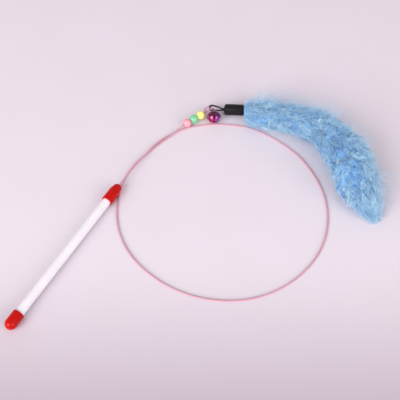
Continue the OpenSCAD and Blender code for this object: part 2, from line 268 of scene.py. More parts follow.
@dataclass(frozen=True)
class ExtrudedPlastic(Finish):
    """Extruded plastic tube: fine draw lines run along it, and light soaks a little way into the white."""

    patch: float = 18 * MM
    line: float = 0.22 * MM
    line_run: float = 60 * MM
    line_depth: float = 0.01 * MM
    scuff: float = 7 * MM
    gloss_spread: float = 0.12
    all_over: ClassVar[dict[str, Any]] = {
        "Subsurface Weight": 0.15, "Subsurface Radius": (1.0, 0.9, 0.9), "Subsurface Scale": 0.8 * MM}

    def wire_up(self, on: Wiring) -> None:
        """Wires draw lines stretched along the handle, and scuffs in the gloss.

        Args:
            on: What the pattern is wired into.
        """
        self.dapple(on, self.patch)
        stretched = add_node(on.tree, "ShaderNodeMapping", inputs={
            "Vector": on.where, "Scale": (1 / self.line_run, 1 / self.line, 1 / self.line)})
        self.roughen(Wiring(on.tree, on.shader, stretched.outputs["Vector"]), 1.0, self.line_depth)
        self.dull(on, self.scuff, 5.0, (0.35, 0.7), self.gloss_spread)


@dataclass(frozen=True)
class CoatedWire(Finish):
    """Vinyl-coated spring steel wire: a clear gloss over a pink coat that drifts towards peach along the wire."""

    drift: float = 22 * MM
    ripple: float = 1.3 * MM
    ripple_depth: float = 0.02 * MM
    place: ClassVar[Place] = Place.LENGTH_MAP
    all_over: ClassVar[dict[str, Any]] = {"Coat Weight": 0.2, "Coat Roughness": 0.2}

    def wire_up(self, on: Wiring) -> None:
        """Wires the drift of colour and the coat's slight ripples, both along the wire's own map.

        Args:
            on: What the pattern is wired into.
        """
        self.dapple(on, self.drift)
        self.roughen(on, self.ripple, self.ripple_depth)


@dataclass(frozen=True)
class PearlPlastic(Finish):
    """Pearl polystyrene, as beads are moulded from: milky, with swirls of mica and a thin seam round the middle."""

    swirl: float = 2.6 * MM
    seam_half: float = 0.07 * MM
    seam_depth: float = 0.03 * MM
    centre: Point = (0.0, 0.0, 0.0)
    way: Point = (1.0, 0.0, 0.0)
    all_over: ClassVar[dict[str, Any]] = {
        "Subsurface Weight": 0.3, "Subsurface Radius": (1.0, 0.8, 0.8), "Subsurface Scale": 1.2 * MM,
        "Coat Weight": 0.6, "Coat Roughness": 0.08}

    def wire_up(self, on: Wiring) -> None:
        """Wires the swirls and the mould's seam.

        Args:
            on: What the pattern is wired into.
        """
        self.dapple(on, self.swirl, 2.0, 1.6, (0.38, 0.62))
        moved = add_node(on.tree, "ShaderNodeVectorMath", {"operation": "SUBTRACT"}, {0: on.where, 1: self.centre})
        along = add_node(on.tree, "ShaderNodeVectorMath", {"operation": "DOT_PRODUCT"}, {
            0: moved.outputs[0], 1: self.way})
        off = add_node(on.tree, "ShaderNodeMath", {"operation": "ABSOLUTE"}, {0: along.outputs["Value"]})
        ridge = add_node(on.tree, "ShaderNodeMapRange", inputs={
            "Value": off.outputs[0], "From Min": 0.0, "From Max": self.seam_half, "To Min": 1.0, "To Max": 0.0})
        bump = add_node(on.tree, "ShaderNodeBump", inputs={
            "Height": ridge.outputs["Result"], "Distance": self.seam_depth, "Strength": 1.0})
        on.tree.links.new(bump.outputs["Normal"], on.shader.inputs["Normal"])


@dataclass(frozen=True)
class WoundStrands(Finish):
    """A cord's surface: strands wind round it, with painted shade in the grooves between them."""

    groove: float = 0.12 * MM
    place: ClassVar[Place] = Place.LENGTH_MAP

    def phases(self, on: Wiring, around: float, along: float) -> tuple[Socket, Socket]:
        """Turns the cord's own map into how far the strands have wound.

        Args:
            on: What the strands are wired into, on the cord's own map in metres.
            around: Radians for each metre round the cord.
            along: Radians for each metre along it.

        Returns:
            The angle that grows round the cord, and the one that grows along it.
        """
        split = add_node(on.tree, "ShaderNodeSeparateXYZ", inputs={"Vector": on.where})
        first, second = (
            add_node(on.tree, "ShaderNodeMath", {"operation": "MULTIPLY"}, {0: split.outputs[axis], 1: rate}).outputs[0]
            for axis, rate in (("X", around), ("Y", along)))
        return first, second

    def raise_strands(self, on: Wiring, height: Socket, edges: tuple[float, float]) -> None:
        """Wires the strands' colour, with painted shade in the grooves, and their relief.

        Args:
            on: What the strands are wired into.
            height: The strands' height, from -1 in the grooves to 1.
            edges: The heights at which the painted groove shade ends and the colour is full.
        """
        share = add_node(on.tree, "ShaderNodeMapRange", inputs={
            "Value": height, "From Min": edges[0], "From Max": edges[1]})
        # The shade colour is painted shade, laid in the grooves.
        mix = add_node(on.tree, "ShaderNodeMix", {"data_type": "RGBA"}, {
            0: share.outputs["Result"], 6: linear(self.shade), 7: linear(self.colour)})
        on.tree.links.new(mix.outputs[2], on.shader.inputs["Base Color"])
        bump = add_node(on.tree, "ShaderNodeBump", inputs={
            "Height": height, "Distance": self.groove / 2, "Strength": 1.0})
        on.tree.links.new(bump.outputs["Normal"], on.shader.inputs["Normal"])


@dataclass(frozen=True)
class BraidedCord(WoundStrands):
    """Waxed polyester cord: a tight diamond braid of eight strands, with painted shade in its grooves."""

    turn: float = 5.0 * MM
    pick: float = 1.1 * MM
    all_over: ClassVar[dict[str, Any]] = {"Sheen Weight": 0.15, "Sheen Roughness": 0.4}

    def wire_up(self, on: Wiring) -> None:
        """Wires two crossing sets of ridges, four strands each way.

        Args:
            on: What the pattern is wired into.
        """
        around, along = self.phases(on, 4 * math.tau / self.turn, math.tau / (2 * self.pick))
        ridges = []
        for operation in ("ADD", "SUBTRACT"):
            crossed = add_node(on.tree, "ShaderNodeMath", {"operation": operation}, {0: around, 1: along})
            ridges.append(add_node(on.tree, "ShaderNodeMath", {"operation": "SINE"}, {0: crossed.outputs[0]}))
        height = add_node(on.tree, "ShaderNodeMath", {"operation": "MAXIMUM"}, {
            0: ridges[0].outputs[0], 1: ridges[1].outputs[0]})
        self.raise_strands(on, height.outputs[0], (-0.2, 1.0))


@dataclass(frozen=True)
class SpunString(WoundStrands):
    """Two-ply cotton string: pale, with the plies' twist showing as slanted grooves that hold painted shade."""

    girth: float = math.pi * 1.6 * MM
    ply: float = 1.2 * MM
    groove: float = 0.2 * MM
    all_over: ClassVar[dict[str, Any]] = {"Sheen Weight": 0.3}

    def wire_up(self, on: Wiring) -> None:
        """Wires the slant of the two plies on the string's own map.

        Args:
            on: What the pattern is wired into.
        """
        around, along = self.phases(on, 2 * math.tau / self.girth, math.tau / self.ply)
        slant = add_node(on.tree, "ShaderNodeMath", {"operation": "ADD"}, {0: around, 1: along})
        height = add_node(on.tree, "ShaderNodeMath", {"operation": "SINE"}, {0: slant.outputs[0]})
        self.raise_strands(on, height.outputs[0], (-1.0, 0.6))


@dataclass(frozen=True)
class SatinVinyl(Finish):
    """Soft moulded vinyl: charcoal, spark-eroded to an even satin grain, polished here and there by handling."""

    patch: float = 3 * MM
    grain: float = 0.35 * MM
    grain_depth: float = 0.02 * MM
    polish: float = 5 * MM
    gloss_spread: float = 0.14
    all_over: ClassVar[dict[str, Any]] = {"Specular IOR Level": 0.28}

    def wire_up(self, on: Wiring) -> None:
        """Wires the grain and the patches where handling has polished it.

        Args:
            on: What the pattern is wired into.
        """
        self.dapple(on, self.patch)
        self.roughen(on, self.grain, self.grain_depth)
        self.dull(on, self.polish, 3.0, (0.35, 0.65), self.gloss_spread)


@dataclass(frozen=True)
class LacqueredMetal(Finish):
    """Pressed sheet metal under a tinted lacquer: a mirror with fine tumbling scratches and a few dull patches."""

    scratch: float = 0.5 * MM
    scratch_depth: float = 0.004 * MM
    patch: float = 3.5 * MM
    gloss_spread: float = 0.12
    all_over: ClassVar[dict[str, Any]] = {"Metallic": 1.0}

    def wire_up(self, on: Wiring) -> None:
        """Wires the tint's drift, the scratches and the patches in the gloss.

        Args:
            on: What the pattern is wired into.
        """
        self.dapple(on, self.patch)
        self.dull(on, self.patch, 4.0, (0.4, 0.7), self.gloss_spread)
        self.roughen(on, self.scratch, self.scratch_depth, 3.0, 2.0)


@dataclass(frozen=True)
class LacquerWithPaintedReflections(LacqueredMetal):
    """Bright steel under magenta lacquer, with painted reflections: a dark painted reflection round the crown, and a
    purple painted reflection on one side, so that the other side looks redder.

    A thin clear coat over the tint gives the highlights their white cores.
    """

    # Painted reflections: purple on one side and dark round the crown, each mixed into the tint up to the share most.
    painted_purple_reflection: str = "#9A2AB0"
    painted_dark_reflection: str = "#560C46"
    most: float = 0.85
    centre: Point = (0.0, 0.0, 0.0)
    radius: float = 7 * MM
    way: Point = (0.49, -0.87, 0.0)
    all_over: ClassVar[dict[str, Any]] = {
        "Metallic": 1.0, "Coat Weight": 1.0, "Coat Roughness": 0.04, "Coat IOR": 1.6}

    def wire_up(self, on: Wiring) -> None:
        """Wires the painted reflections over the tint, the metal's scratches and patches.

        Args:
            on: What the pattern is wired into.
        """
        super().wire_up(on)
        tint = on.shader.inputs["Base Color"].links[0].from_socket
        moved = add_node(on.tree, "ShaderNodeVectorMath", {"operation": "SUBTRACT"}, {0: on.where, 1: self.centre})
        # Each pass paints a reflection into the tint: purple along way, dark towards the crown.
        for way, low, high, end in ((self.way, -0.3, 0.9, self.painted_purple_reflection), ((0, 0, 1), 0.3, 0.75, self.painted_dark_reflection)):
            along = add_node(on.tree, "ShaderNodeVectorMath", {"operation": "DOT_PRODUCT"}, {
                0: moved.outputs[0], 1: way})
            share = add_node(on.tree, "ShaderNodeMapRange", {"interpolation_type": "SMOOTHSTEP"}, {
                "Value": along.outputs["Value"], "From Min": low * self.radius, "From Max": high * self.radius,
                "To Max": self.most})
            mix = add_node(on.tree, "ShaderNodeMix", {"data_type": "RGBA"}, {
                0: share.outputs["Result"], 6: tint, 7: linear(end)})
            tint = mix.outputs[2]
        on.tree.links.new(tint, on.shader.inputs["Base Color"])


@dataclass(frozen=True)
class MarabouDown(Finish):
    """Dyed marabou: each plume takes the dye a little differently, and the barbs pale towards their tips. The dye that
    each point carries also holds painted light on the outer side of the bend and painted shade on dark strands.
    """

    pale: str = "#DDF2FC"
    patch: float = 9 * MM
    patch_share: float = 0.3
    all_over: ClassVar[dict[str, Any]] = {
        "Sheen Weight": 0.25, "Sheen Roughness": 0.5, "Sheen Tint": linear("#D6EEFA"), "Specular IOR Level": 0.25}

    def wire_up(self, on: Wiring) -> None:
        """Wires the plume's own dye, with the painted light and shade that it carries, the pale tips and soft patches
        in the down.

        Args:
            on: What the pattern is wired into.
        """
        dye, tip = (add_node(on.tree, "ShaderNodeAttribute", {"attribute_name": name}) for name in (DYE_AND_PAINTED_LIGHT, TIP))
        patches = add_node(on.tree, "ShaderNodeTexNoise", inputs={
            "Vector": on.where, "Scale": 1 / self.patch, "Detail": 2.0})
        both = add_node(on.tree, "ShaderNodeMath", {"operation": "MULTIPLY_ADD"}, {
            0: patches.outputs["Fac"], 1: self.patch_share, 2: dye.outputs["Fac"]})
        share = add_node(on.tree, "ShaderNodeMapRange", inputs={
            "Value": both.outputs[0], "From Min": 0.15, "From Max": 1.15})
        dyed = add_node(on.tree, "ShaderNodeMix", {"data_type": "RGBA"}, {
            0: share.outputs["Result"], 6: linear(self.shade), 7: linear(self.colour)})
        paled = add_node(on.tree, "ShaderNodeMix", {"data_type": "RGBA"}, {
            0: tip.outputs["Fac"], 6: dyed.outputs[2], 7: linear(self.pale)})
        on.tree.links.new(paled.outputs[2], on.shader.inputs["Base Color"])


WHITE_TUBE = ExtrudedPlastic("extruded_white_polystyrene", "#F7F3F6", "#F1ECF1", roughness=0.28, ior=1.59)
RED_CAP = MouldedPlastic("moulded_red_polyethylene", "#C80A02", "#B80601", roughness=0.2, ior=1.51, shine=0.2)
PINK_WIRE = CoatedWire("vinyl_coated_spring_wire", "#D196AA", "#D6A1AA", roughness=0.36, ior=1.54)
# Painted shade: the cord's second colour lies in the grooves of its braid.
CORD_BLACK = BraidedCord("waxed_polyester_braid", "#242028", "#0C0A0E", roughness=0.55)
FERRULE_BLACK = SatinVinyl("satin_charcoal_vinyl", "#1A161E", "#131016", roughness=0.38)
PELLET_STEEL = LacqueredMetal("tumbled_bare_steel", "#B8B8BC", "#98989E", roughness=0.22)
CRIMP_METAL = LacqueredMetal("drawn_aluminium_sleeve", "#D4D5D8", "#BFC1C6", roughness=0.25)
# Painted shade: the string's second colour lies in the grooves between its plies.
STRING_PALE = SpunString("two_ply_cotton_string", "#E4F0F6", "#B4CFE0", roughness=0.8)
BOUND_ROOT = MouldedPlastic("bound_cotton_thread", "#A8CCE4", "#8CB8DA", roughness=0.8, peel=0.4 * MM)
BLUE_DOWN = MarabouDown("dyed_marabou_down", "#C9EDFC", "#60ACE6", roughness=0.75)
QUILL_PALE = MouldedPlastic("marabou_quill_keratin", "#D2E8F4", "#B6D6EA", roughness=0.45, peel=0.5 * MM)


# --- Places that the wand's source gives ----------------------------------------------------------------


def smooth_line(points: Sequence[Sequence[float]], step: float) -> Array:
    """Runs a smooth line through given points, as the wand's source does.

    Args:
        points: The points, each with any number of values.
        step: Longest chord of the line, in the points' unit.

    Returns:
        One row for each point of the line.
    """
    p = np.array(points, float)
    chords = np.linalg.norm(np.diff(p, axis=0), axis=1)
    slopes = np.diff(p, axis=0) / chords[:, None]
    turned = (slopes[:-1] * chords[1:, None] + slopes[1:] * chords[:-1, None]) / (chords[:-1] + chords[1:])[:, None]
    headings = np.vstack([slopes[:1], turned, slopes[-1:]])
    rows = []
    for i, d in enumerate(chords):
        t = (np.arange(math.ceil(d / step)) / math.ceil(d / step))[:, None]
        rows.append(
            p[i] * (2 * t**3 - 3 * t**2 + 1) + headings[i] * d * (t**3 - 2 * t**2 + t)
            + p[i + 1] * (3 * t**2 - 2 * t**3) + headings[i + 1] * d * (t**3 - t**2))
    return np.vstack([*rows, p[-1:]])


@dataclass(frozen=True)
class Layout:
    """Places of the wand's source in millimetres: along the handle, to its left, and up from its axis."""

    ground: float = -5.35
    mouth: float = 164.7
    bead_place: Point = (101.6, -16.5, 4.6)
    bead_turn: float = math.radians(-27.5)
    bead_rise: float = math.radians(6.5)
    bead_pitch: float = 8.3
    bead_len: float = 8.0
    eye_end: float = 29.8
    eye_offset: float = 2.5
    lure_turn: float = math.radians(-63.5)
    loop_len: float = 13.5
    ferrule_r: float = 5.7
    ferrule_len: float = 21.0
    rest_gap: float = 0.05

    @property
    def row_way(self) -> Array:
        """The way that the row of beads points."""
        return np.array([math.cos(self.bead_turn) * math.cos(self.bead_rise),
                         math.sin(self.bead_turn) * math.cos(self.bead_rise), math.sin(self.bead_rise)])

    @property
    def row_side(self) -> Array:
        """The level direction to the left of the row of beads."""
        return np.array([-math.sin(self.bead_turn), math.cos(self.bead_turn), 0.0])

    def from_mouth(self, point: Sequence[float]) -> Array:
        """Turns a place measured from the nozzle's mouth, with its height above the plane, into the wand's frame."""
        return np.array([self.mouth + point[0], point[1], self.ground + point[2]])

    def in_row(self, along: float, left: float) -> Array:
        """Turns a place in the row of beads into the wand's frame."""
        return self.from_mouth(self.bead_place) + along * self.row_way + left * self.row_side

    @property
    def eye_place(self) -> Array:
        """Middle of the round end of the wire's eye."""
        return self.in_row(self.eye_end, self.eye_offset)

    @property
    def ferrule_axis(self) -> float:
        """Height of the ferrule's axis over the eye."""
        return self.ground + self.ferrule_r + self.rest_gap - self.eye_place[2]

    def at_lure(self, points: Sequence[Sequence[float]]) -> Array:
        """Turns places in the lure's frame into the wand's frame, in metres.

        Args:
            points: Rows of three values in millimetres.

        Returns:
            The same rows in metres.
        """
        c, s = math.cos(self.lure_turn), math.sin(self.lure_turn)
        turned = np.array(points, float) @ np.array([[c, s, 0], [-s, c, 0], [0, 0, 1]])
        return (turned + self.eye_place) * MM

    @property
    def ferrule_frame(self) -> Matrix:
        """Frame at the ferrule's nose in metres, with +X towards the feathers."""
        nose = self.at_lure([[self.loop_len, 0, self.ferrule_axis]])[0]
        return Matrix.Translation(nose) @ Matrix.Rotation(self.lure_turn, 4, "Z")

    def bead_frame(self, number: int) -> Matrix:
        """Frame at the middle of a bead in metres, with +X along the row."""
        turned = Matrix.Rotation(self.bead_turn, 4, "Z") @ Matrix.Rotation(-self.bead_rise, 4, "Y")
        return Matrix.Translation(self.in_row(number * self.bead_pitch, 0) * MM) @ turned


LAYOUT = Layout()


# --- Modelling by hand's tools ----------------------------------------------------------------------------

SMOOTH_ANGLE = math.radians(32)


def clear_selection() -> None:
    """Leaves nothing selected, so that an operator acts only on what is added next."""
    bpy.ops.object.select_all(action="DESELECT")


def turn_on_lathe(
    name: str,
    outline: Sequence[tuple[float, float]],
    place: Matrix,
    closed: bool,
    soften: float = 0.0,
    soften_over: float = 24.0,
    steps: int = 72,
) -> Piece:
    """Extrudes an outline point by point and spins it about the X axis.

    Args:
        name: Name of the new piece.
        outline: Places along the axis and radii, in millimetres.
        place: Frame of the piece in metres.
        closed: True if the outline returns to its start, as a pierced piece's does.
        soften: Width of the rounding of its corners, in millimetres.
        soften_over: Angle in degrees past which a corner is rounded.
        steps: Steps of the spin.

    Returns:
        The piece, at the origin, with its place in its mesh.
    """
    clear_selection()
    bpy.ops.mesh.primitive_circle_add(vertices=3, radius=MM, location=(0, 0, 0))
    piece = bpy.context.object
    piece.name = piece.data.name = name
    bpy.ops.object.mode_set(mode="EDIT")
    mesh = bmesh.from_edit_mesh(piece.data)
    for vertex in list(mesh.verts)[1:]:
        mesh.verts.remove(vertex)
    mesh.verts.ensure_lookup_table()
    mesh.verts[0].co = Vector((outline[0][0] * MM, outline[0][1] * MM, 0))
    mesh.verts[0].select_set(True)
    bmesh.update_edit_mesh(piece.data)
    stops = list(outline[1:]) + ([outline[0]] if closed else [])
    at = outline[0]
    for stop in stops:
        move = ((stop[0] - at[0]) * MM, (stop[1] - at[1]) * MM, 0)
        bpy.ops.mesh.extrude_region_move(TRANSFORM_OT_translate={"value": move})
        at = stop
    bpy.ops.mesh.select_all(action="SELECT")
    bpy.ops.mesh.spin(steps=steps, angle=math.tau, center=(0, 0, 0), axis=(1, 0, 0))
    bpy.ops.mesh.select_all(action="SELECT")
    bpy.ops.mesh.remove_doubles(threshold=1e-6)
    bpy.ops.mesh.normals_make_consistent(inside=False)
    bpy.ops.object.mode_set(mode="OBJECT")
    if soften:
        rounded = piece.modifiers.new("rounded_corners", "BEVEL")
        rounded.width, rounded.segments = soften * MM, 3
        rounded.limit_method, rounded.angle_limit = "ANGLE", math.radians(soften_over)
        bpy.ops.object.modifier_apply(modifier=rounded.name)
    bpy.ops.object.shade_smooth_by_angle(angle=SMOOTH_ANGLE)
    piece.matrix_world = place
    bpy.ops.object.transform_apply(location=True, rotation=True, scale=True)
    return piece


def arc(
    middle: tuple[float, float], radii: tuple[float, float], start: float, end: float, points: int,
) -> list[tuple[float, float]]:
    """Points along part of an ellipse of an outline.

    Args:
        middle: Place along the axis and radius of the ellipse's middle.
        radii: Its reach along the axis and across it.
        start: First angle in degrees, from +X.
        end: Last angle in degrees.
        points: Number of points, ends included.

    Returns:
        The points, as places along the axis and radii.
    """
    angles = [math.radians(start + (end - start) * i / (points - 1)) for i in range(points)]
    return [(middle[0] + radii[0] * math.cos(a), middle[1] + radii[1] * math.sin(a)) for a in angles]


def carried_normals(ways: Array, up: Sequence[float]) -> Array:
    """Carries a normal along a line without twist.

    Args:
        ways: Direction of the line at each point.
        up: Direction that the first normal leans to.

    Returns:
        A normal for each point.
    """
    rows, last = [], np.array(up, float)
    for way in ways:
        last = last - (last @ way) * way
        last = last / np.linalg.norm(last)
        rows.append(last)
    return np.array(rows)


def unit(vectors: Array) -> Array:
    """Scales vectors to a length of 1."""
    return vectors / np.maximum(np.linalg.norm(vectors, axis=-1), 1e-9)[..., None]


def dots(first: Array, second: Array) -> Array:
    """Dot products of two lists of vectors, row by row."""
    return np.einsum("ij,ij->i", first, second)


def line_ways(line: Array) -> Array:
    """Directions along a line of points."""
    return unit(np.gradient(line, axis=0))


def link_data(name: str, data: bpy.types.ID) -> Piece:
    """Adds an object to the scene, at the origin.

    Args:
        name: Its name.
        data: The mesh, lamp or camera that it shows.

    Returns:
        The object.
    """
    piece = bpy.data.objects.new(name, data)
    bpy.context.scene.collection.objects.link(piece)
    return piece


def link_mesh(name: str, mesh: bmesh.types.BMesh) -> Piece:
    """Adds a mesh that was built in code to the scene as a piece, and frees it.

    Args:
        name: Name of the new piece.
        mesh: Its mesh, in metres.

    Returns:
        The piece.
    """
    data = bpy.data.meshes.new(name)
    mesh.to_mesh(data)
    mesh.free()
    return link_data(name, data)


def sweep_tube(name: str, line: Array, radius: float, sides: int = 16) -> Piece:
    """Makes a round tube along a line, with rounded ends and a map that measures it in metres.

    Args:
        name: Name of the new piece.
        line: Points of its centre line, in metres.
        radius: Radius of the tube, in metres.
        sides: Number of its sides.

    Returns:
        The tube.
    """
    ways = line_ways(line)
    normals = carried_normals(ways, (0, 0, 1))
    # Each ring of a rounded end: how far it lies from the tip, and its share of the radius.
    ends, bulge = [(0.0, 0.0), (0.13, 0.5), (0.5, 0.87)], 0.6
    head = [line[0] - ways[0] * radius * (1 - back) * bulge for back, _ in ends]
    foot = [line[-1] + ways[-1] * radius * (1 - back) * bulge for back, _ in reversed(ends)]
    middles = np.vstack([head, line, foot])
    shares = [share for _, share in ends]
    widths = radius * np.array([*shares, *[1] * len(line), *reversed(shares)])
    spread = [0] * 3 + list(range(len(line))) + [len(line) - 1] * 3
    lengths = np.concatenate([[0], np.cumsum(np.linalg.norm(np.diff(middles, axis=0), axis=1))])
    mesh = bmesh.new()
    layer = mesh.loops.layers.uv.new(SURFACE_MAP)
    rings = []
    for i, middle in enumerate(middles):
        n, b = normals[spread[i]], np.cross(ways[spread[i]], normals[spread[i]])
        if widths[i] == 0:
            rings.append([mesh.verts.new(middle)])
            continue
        turns = [math.tau * k / sides for k in range(sides)]
        rings.append([mesh.verts.new(middle + widths[i] * (math.cos(a) * n + math.sin(a) * b)) for a in turns])
    girth = math.tau * radius
    for i in range(len(rings) - 1):
        for k in range(sides):
            corners = [(i, k), (i, k + 1), (i + 1, k + 1), (i + 1, k)]
            corners = [(r, c) for j, (r, c) in enumerate(corners) if len(rings[r]) > 1 or j in (0, 3)]
            face = mesh.faces.new([rings[r][c % sides if len(rings[r]) > 1 else 0] for r, c in corners])
            face.smooth = True
            for loop, (r, c) in zip(face.loops, corners):
                loop[layer].uv = (c / sides * girth, lengths[r])
    mesh.normal_update()
    return link_mesh(name, mesh)


# --- The wand's sub-assemblies ---------------------------------------------------------------------------


@dataclass
class Handle:
    """The white tube with its slip-on red end cap and nozzle cap."""

    cap_r: float = 5.35
    seat_r: float = 4.05
    bore_r: float = 3.0
    tube_start: float = 1.3
    end_rim: float = 10.8
    nozzle_rim: float = 143.5
    tube_end: float = 156.9
    cone_end: float = 161.4
    cone_r: float = 4.3
    face_r: float = 1.6
    stop_end: float = 163.1
    hollow_r: float = 2.4
    hole_r: float = 0.81
    softening: float = 0.35
    gate_rise: tuple[float, float] = (0.12, 0.1)
    gate_r: float = 0.7

    def make_end_cap(self) -> Piece:
        """Turns the domed end cap, with its rounded rim and the gate mark at the dome's pole.

        Returns:
            The cap.
        """
        gate = [(-self.cap_r - self.gate_rise[0], 0.0), (-self.cap_r - self.gate_rise[1], self.gate_r)]
        dome = arc((0, 0), (self.cap_r, self.cap_r), 171, 90, 16)
        inside = arc((0, 0), (self.bore_r, self.bore_r), 90, 180, 10)
        outline = [*gate, *dome, (self.end_rim, self.cap_r), (self.end_rim, self.seat_r),
                   (self.tube_start, self.seat_r), (self.tube_start, self.bore_r), *inside]
        return turn_on_lathe("end_cap_moulding", outline, Matrix.Identity(4), False, self.softening, soften_over=40)

    def make_nozzle_cap(self) -> Piece:
        """Turns the nozzle cap: straight wall, cone, rounded tip and the wire's hole.

        Returns:
            The cap.
        """
        round_r = self.cone_r - self.face_r
        tip = arc((self.cone_end, self.face_r), (LAYOUT.mouth - self.cone_end, round_r), 0, 90, 10)
        outline = [(self.nozzle_rim, self.seat_r), (self.nozzle_rim, self.cap_r), (self.tube_end, self.cap_r),
                   *reversed(tip), (LAYOUT.mouth, self.hole_r), (self.stop_end, self.hole_r),
                   (self.stop_end, self.hollow_r), (self.tube_end, self.bore_r), (self.tube_end, self.seat_r)]
        return turn_on_lathe("nozzle_cap_moulding", outline, Matrix.Identity(4), True, self.softening)

    def build(self) -> list[Piece]:
        """Dresses the tube and the crimped sleeve, and puts both moulded caps in place.

        Returns:
            The caps, the tube and the sleeve.
        """
        tube, stop = (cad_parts[node] for node in ("handle_tube", "wire_stop"))
        WHITE_TUBE.put_on(tube)
        CRIMP_METAL.put_on(stop)
        caps = [self.make_end_cap(), self.make_nozzle_cap()]
        for piece, node in zip(caps, ("end_cap", "nozzle_cap")):
            RED_CAP.put_on(piece, "red_plastic")
            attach(piece, "wand")
            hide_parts(node)
        return [*caps, tube, stop]


@dataclass
class SpringWire:
    """The long coated wire: out of the nozzle, once round, and doubled through the beads to its eye."""

    radius: float = 0.75
    stop_start: float = 157.1
    tail: float = 1.5
    strand: float = 0.8
    flare: float = 4.5
    eye_r: float = 1.75
    straight: float = 1.05
    route: tuple[Point, ...] = (
        (9, 0.2, 5.2), (22, 0.4, 4.4), (36, 0, 3.5), (48, -0.8, 2.9), (62, -1.8, 2.1), (75, -5, 1.2),
        (88, -11.2, 0.75), (101, -20.6, 0.75), (112.5, -34.2, 0.75), (121.4, -49.4, 0.75),
        (128.2, -68, 0.75), (130, -88, 0.75), (127.5, -110, 0.75), (120, -134, 0.75), (105.5, -157, 0.75),
        (84, -178, 0.75), (57, -191.5, 0.75), (30, -196, 0.75), (2, -192, 0.75), (-24, -180.5, 0.75),
        (-46, -161, 0.75), (-60.5, -136, 0.75), (-67.5, -109, 0.75), (-67, -82, 0.75), (-59, -53, 0.75),
        (-43, -28.5, 0.75), (-25, -13.4, 0.75), (-10, -5.8, 0.75), (5, 0.1, 0.75), (20, 2.9, 0.75),
        (34, 2.8, 0.75), (48, 0.3, 0.75), (61, -3, 0.75), (73, -6.3, 1.2), (84, -10.2, 2.5))
    line: Array = field(init=False)

    def centre_line(self) -> Array:
        """Lays out the wire's centre line, from its crimped end in the nozzle to its tail in the beads.

        Returns:
            Points in metres.
        """
        lead = [np.array([self.stop_start - self.tail, 0, 0]), np.array([LAYOUT.mouth, 0, 0])]
        free = [LAYOUT.from_mouth(p) for p in self.route]
        start, end = -LAYOUT.bead_len / 2, 2 * LAYOUT.bead_pitch + LAYOUT.bead_len / 2
        near, far = LAYOUT.eye_offset - self.eye_r, LAYOUT.eye_offset + self.eye_r
        row = [(start - self.straight, -self.strand), (start, -self.strand), (end, -self.strand),
               (end + self.straight, -self.strand), (end + self.flare, near)]
        row += [(LAYOUT.eye_end + self.eye_r * math.sin(math.radians(a)),
                 LAYOUT.eye_offset - self.eye_r * math.cos(math.radians(a))) for a in range(0, 181, 30)]
        row += [(end + self.flare, far), (end + self.straight, self.strand), (end, self.strand),
                (start + 2 * self.radius, self.strand)]
        doubled = [LAYOUT.in_row(*p) for p in row]
        return smooth_line([*lead, *free, *doubled], 1.2) * MM

    def build(self) -> Piece:
        """Makes the wire and dresses it.

        Returns:
            The wire.
        """
        self.line = self.centre_line()
        piece = sweep_tube("spring_wire", self.line, self.radius * MM, sides=14)
        PINK_WIRE.put_on(piece, "coated_wire")
        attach(piece, "wand")
        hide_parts("teaser_wire")
        return piece


@dataclass
class BeadRow:
    """Three pearl beads threaded on the doubled end of the wire."""

    radius: float = 4.4
    length: float = 8.0
    bore_r: float = 1.65
    softening: float = 0.22
    colours: tuple[tuple[str, str, str], ...] = (
        ("pink", "#FF9CAC", "#FFB4BC"), ("green", "#72CE96", "#8FDCAC"), ("yellow", "#FFFC6C", "#FFFF96"))

    def build(self) -> list[Piece]:
        """Turns the three beads, each with flats that its mould leaves round the bore.

        Returns:
            The beads.
        """
        edge = math.degrees(math.acos(self.length / 2 / self.radius))
        outline = [*arc((0, 0), (self.radius, self.radius), edge, 180 - edge, 25),
                   (-self.length / 2, self.bore_r), (self.length / 2, self.bore_r)]
        beads = []
        for number, (colour, base, shade) in enumerate(self.colours):
            place = LAYOUT.bead_frame(number)
            bead = turn_on_lathe(f"pearl_bead_{colour}", outline, place, True, self.softening)
            pearl = PearlPlastic(f"{colour}_pearl_polystyrene", base, shade, roughness=0.24, ior=1.57,
                                 centre=tuple(place.translation), way=tuple(LAYOUT.row_way))
            pearl.put_on(bead, f"{colour}_bead")
            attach(bead, f"{colour}_bead")
            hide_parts(f"bead_{colour}")
            beads.append(bead)
        return beads


@dataclass
class CordLink:
    """The black cord that loops through the wire's eye and the bell's shank, back to the ferrule's nose."""

    radius: float = 0.8
    strand: float = 0.85
    into_nose: float = 14.9
    route: tuple[Point, ...] = (
        (10, -2.2, -1.6), (7, -3.2, -0.9), (5.2, -3.55, -0.5), (3.8, -3.6, -0.4), (2.4, -3.3, -0.8),
        (1.2, -2.2, -1.7), (0.3, -0.9, -2), (0, 0, -0.9), (0, 0, 0.9), (0.4, 0.8, 1.9), (2, 1.3, 1.7),
        (5, 1.3, 1.1), (9, 1.2, -0.4))
    nose_at: float = 13.2
    bend_from: float = 10.0
    hinge_at: float = 15.7

    def build(self) -> Piece:
        """Returns:
            The loop.
        """
        axis = LAYOUT.ferrule_axis
        there, back = ([(at, side * self.strand, axis) for at in (self.into_nose, self.nose_at)] for side in (-1, 1))
        line = LAYOUT.at_lure(smooth_line([*there, *self.route, *reversed(back)], 0.5))
        piece = sweep_tube("cord_link_braid", line, self.radius * MM)
        CORD_BLACK.put_on(piece, "black_cord")
        CORD_BLACK.put_on(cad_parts["cord_knot"])
        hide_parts("cord_loop")
        start, end = LAYOUT.at_lure([(self.bend_from, 0, axis), (self.hinge_at, 0, axis)])
        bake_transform(piece)
        return piece


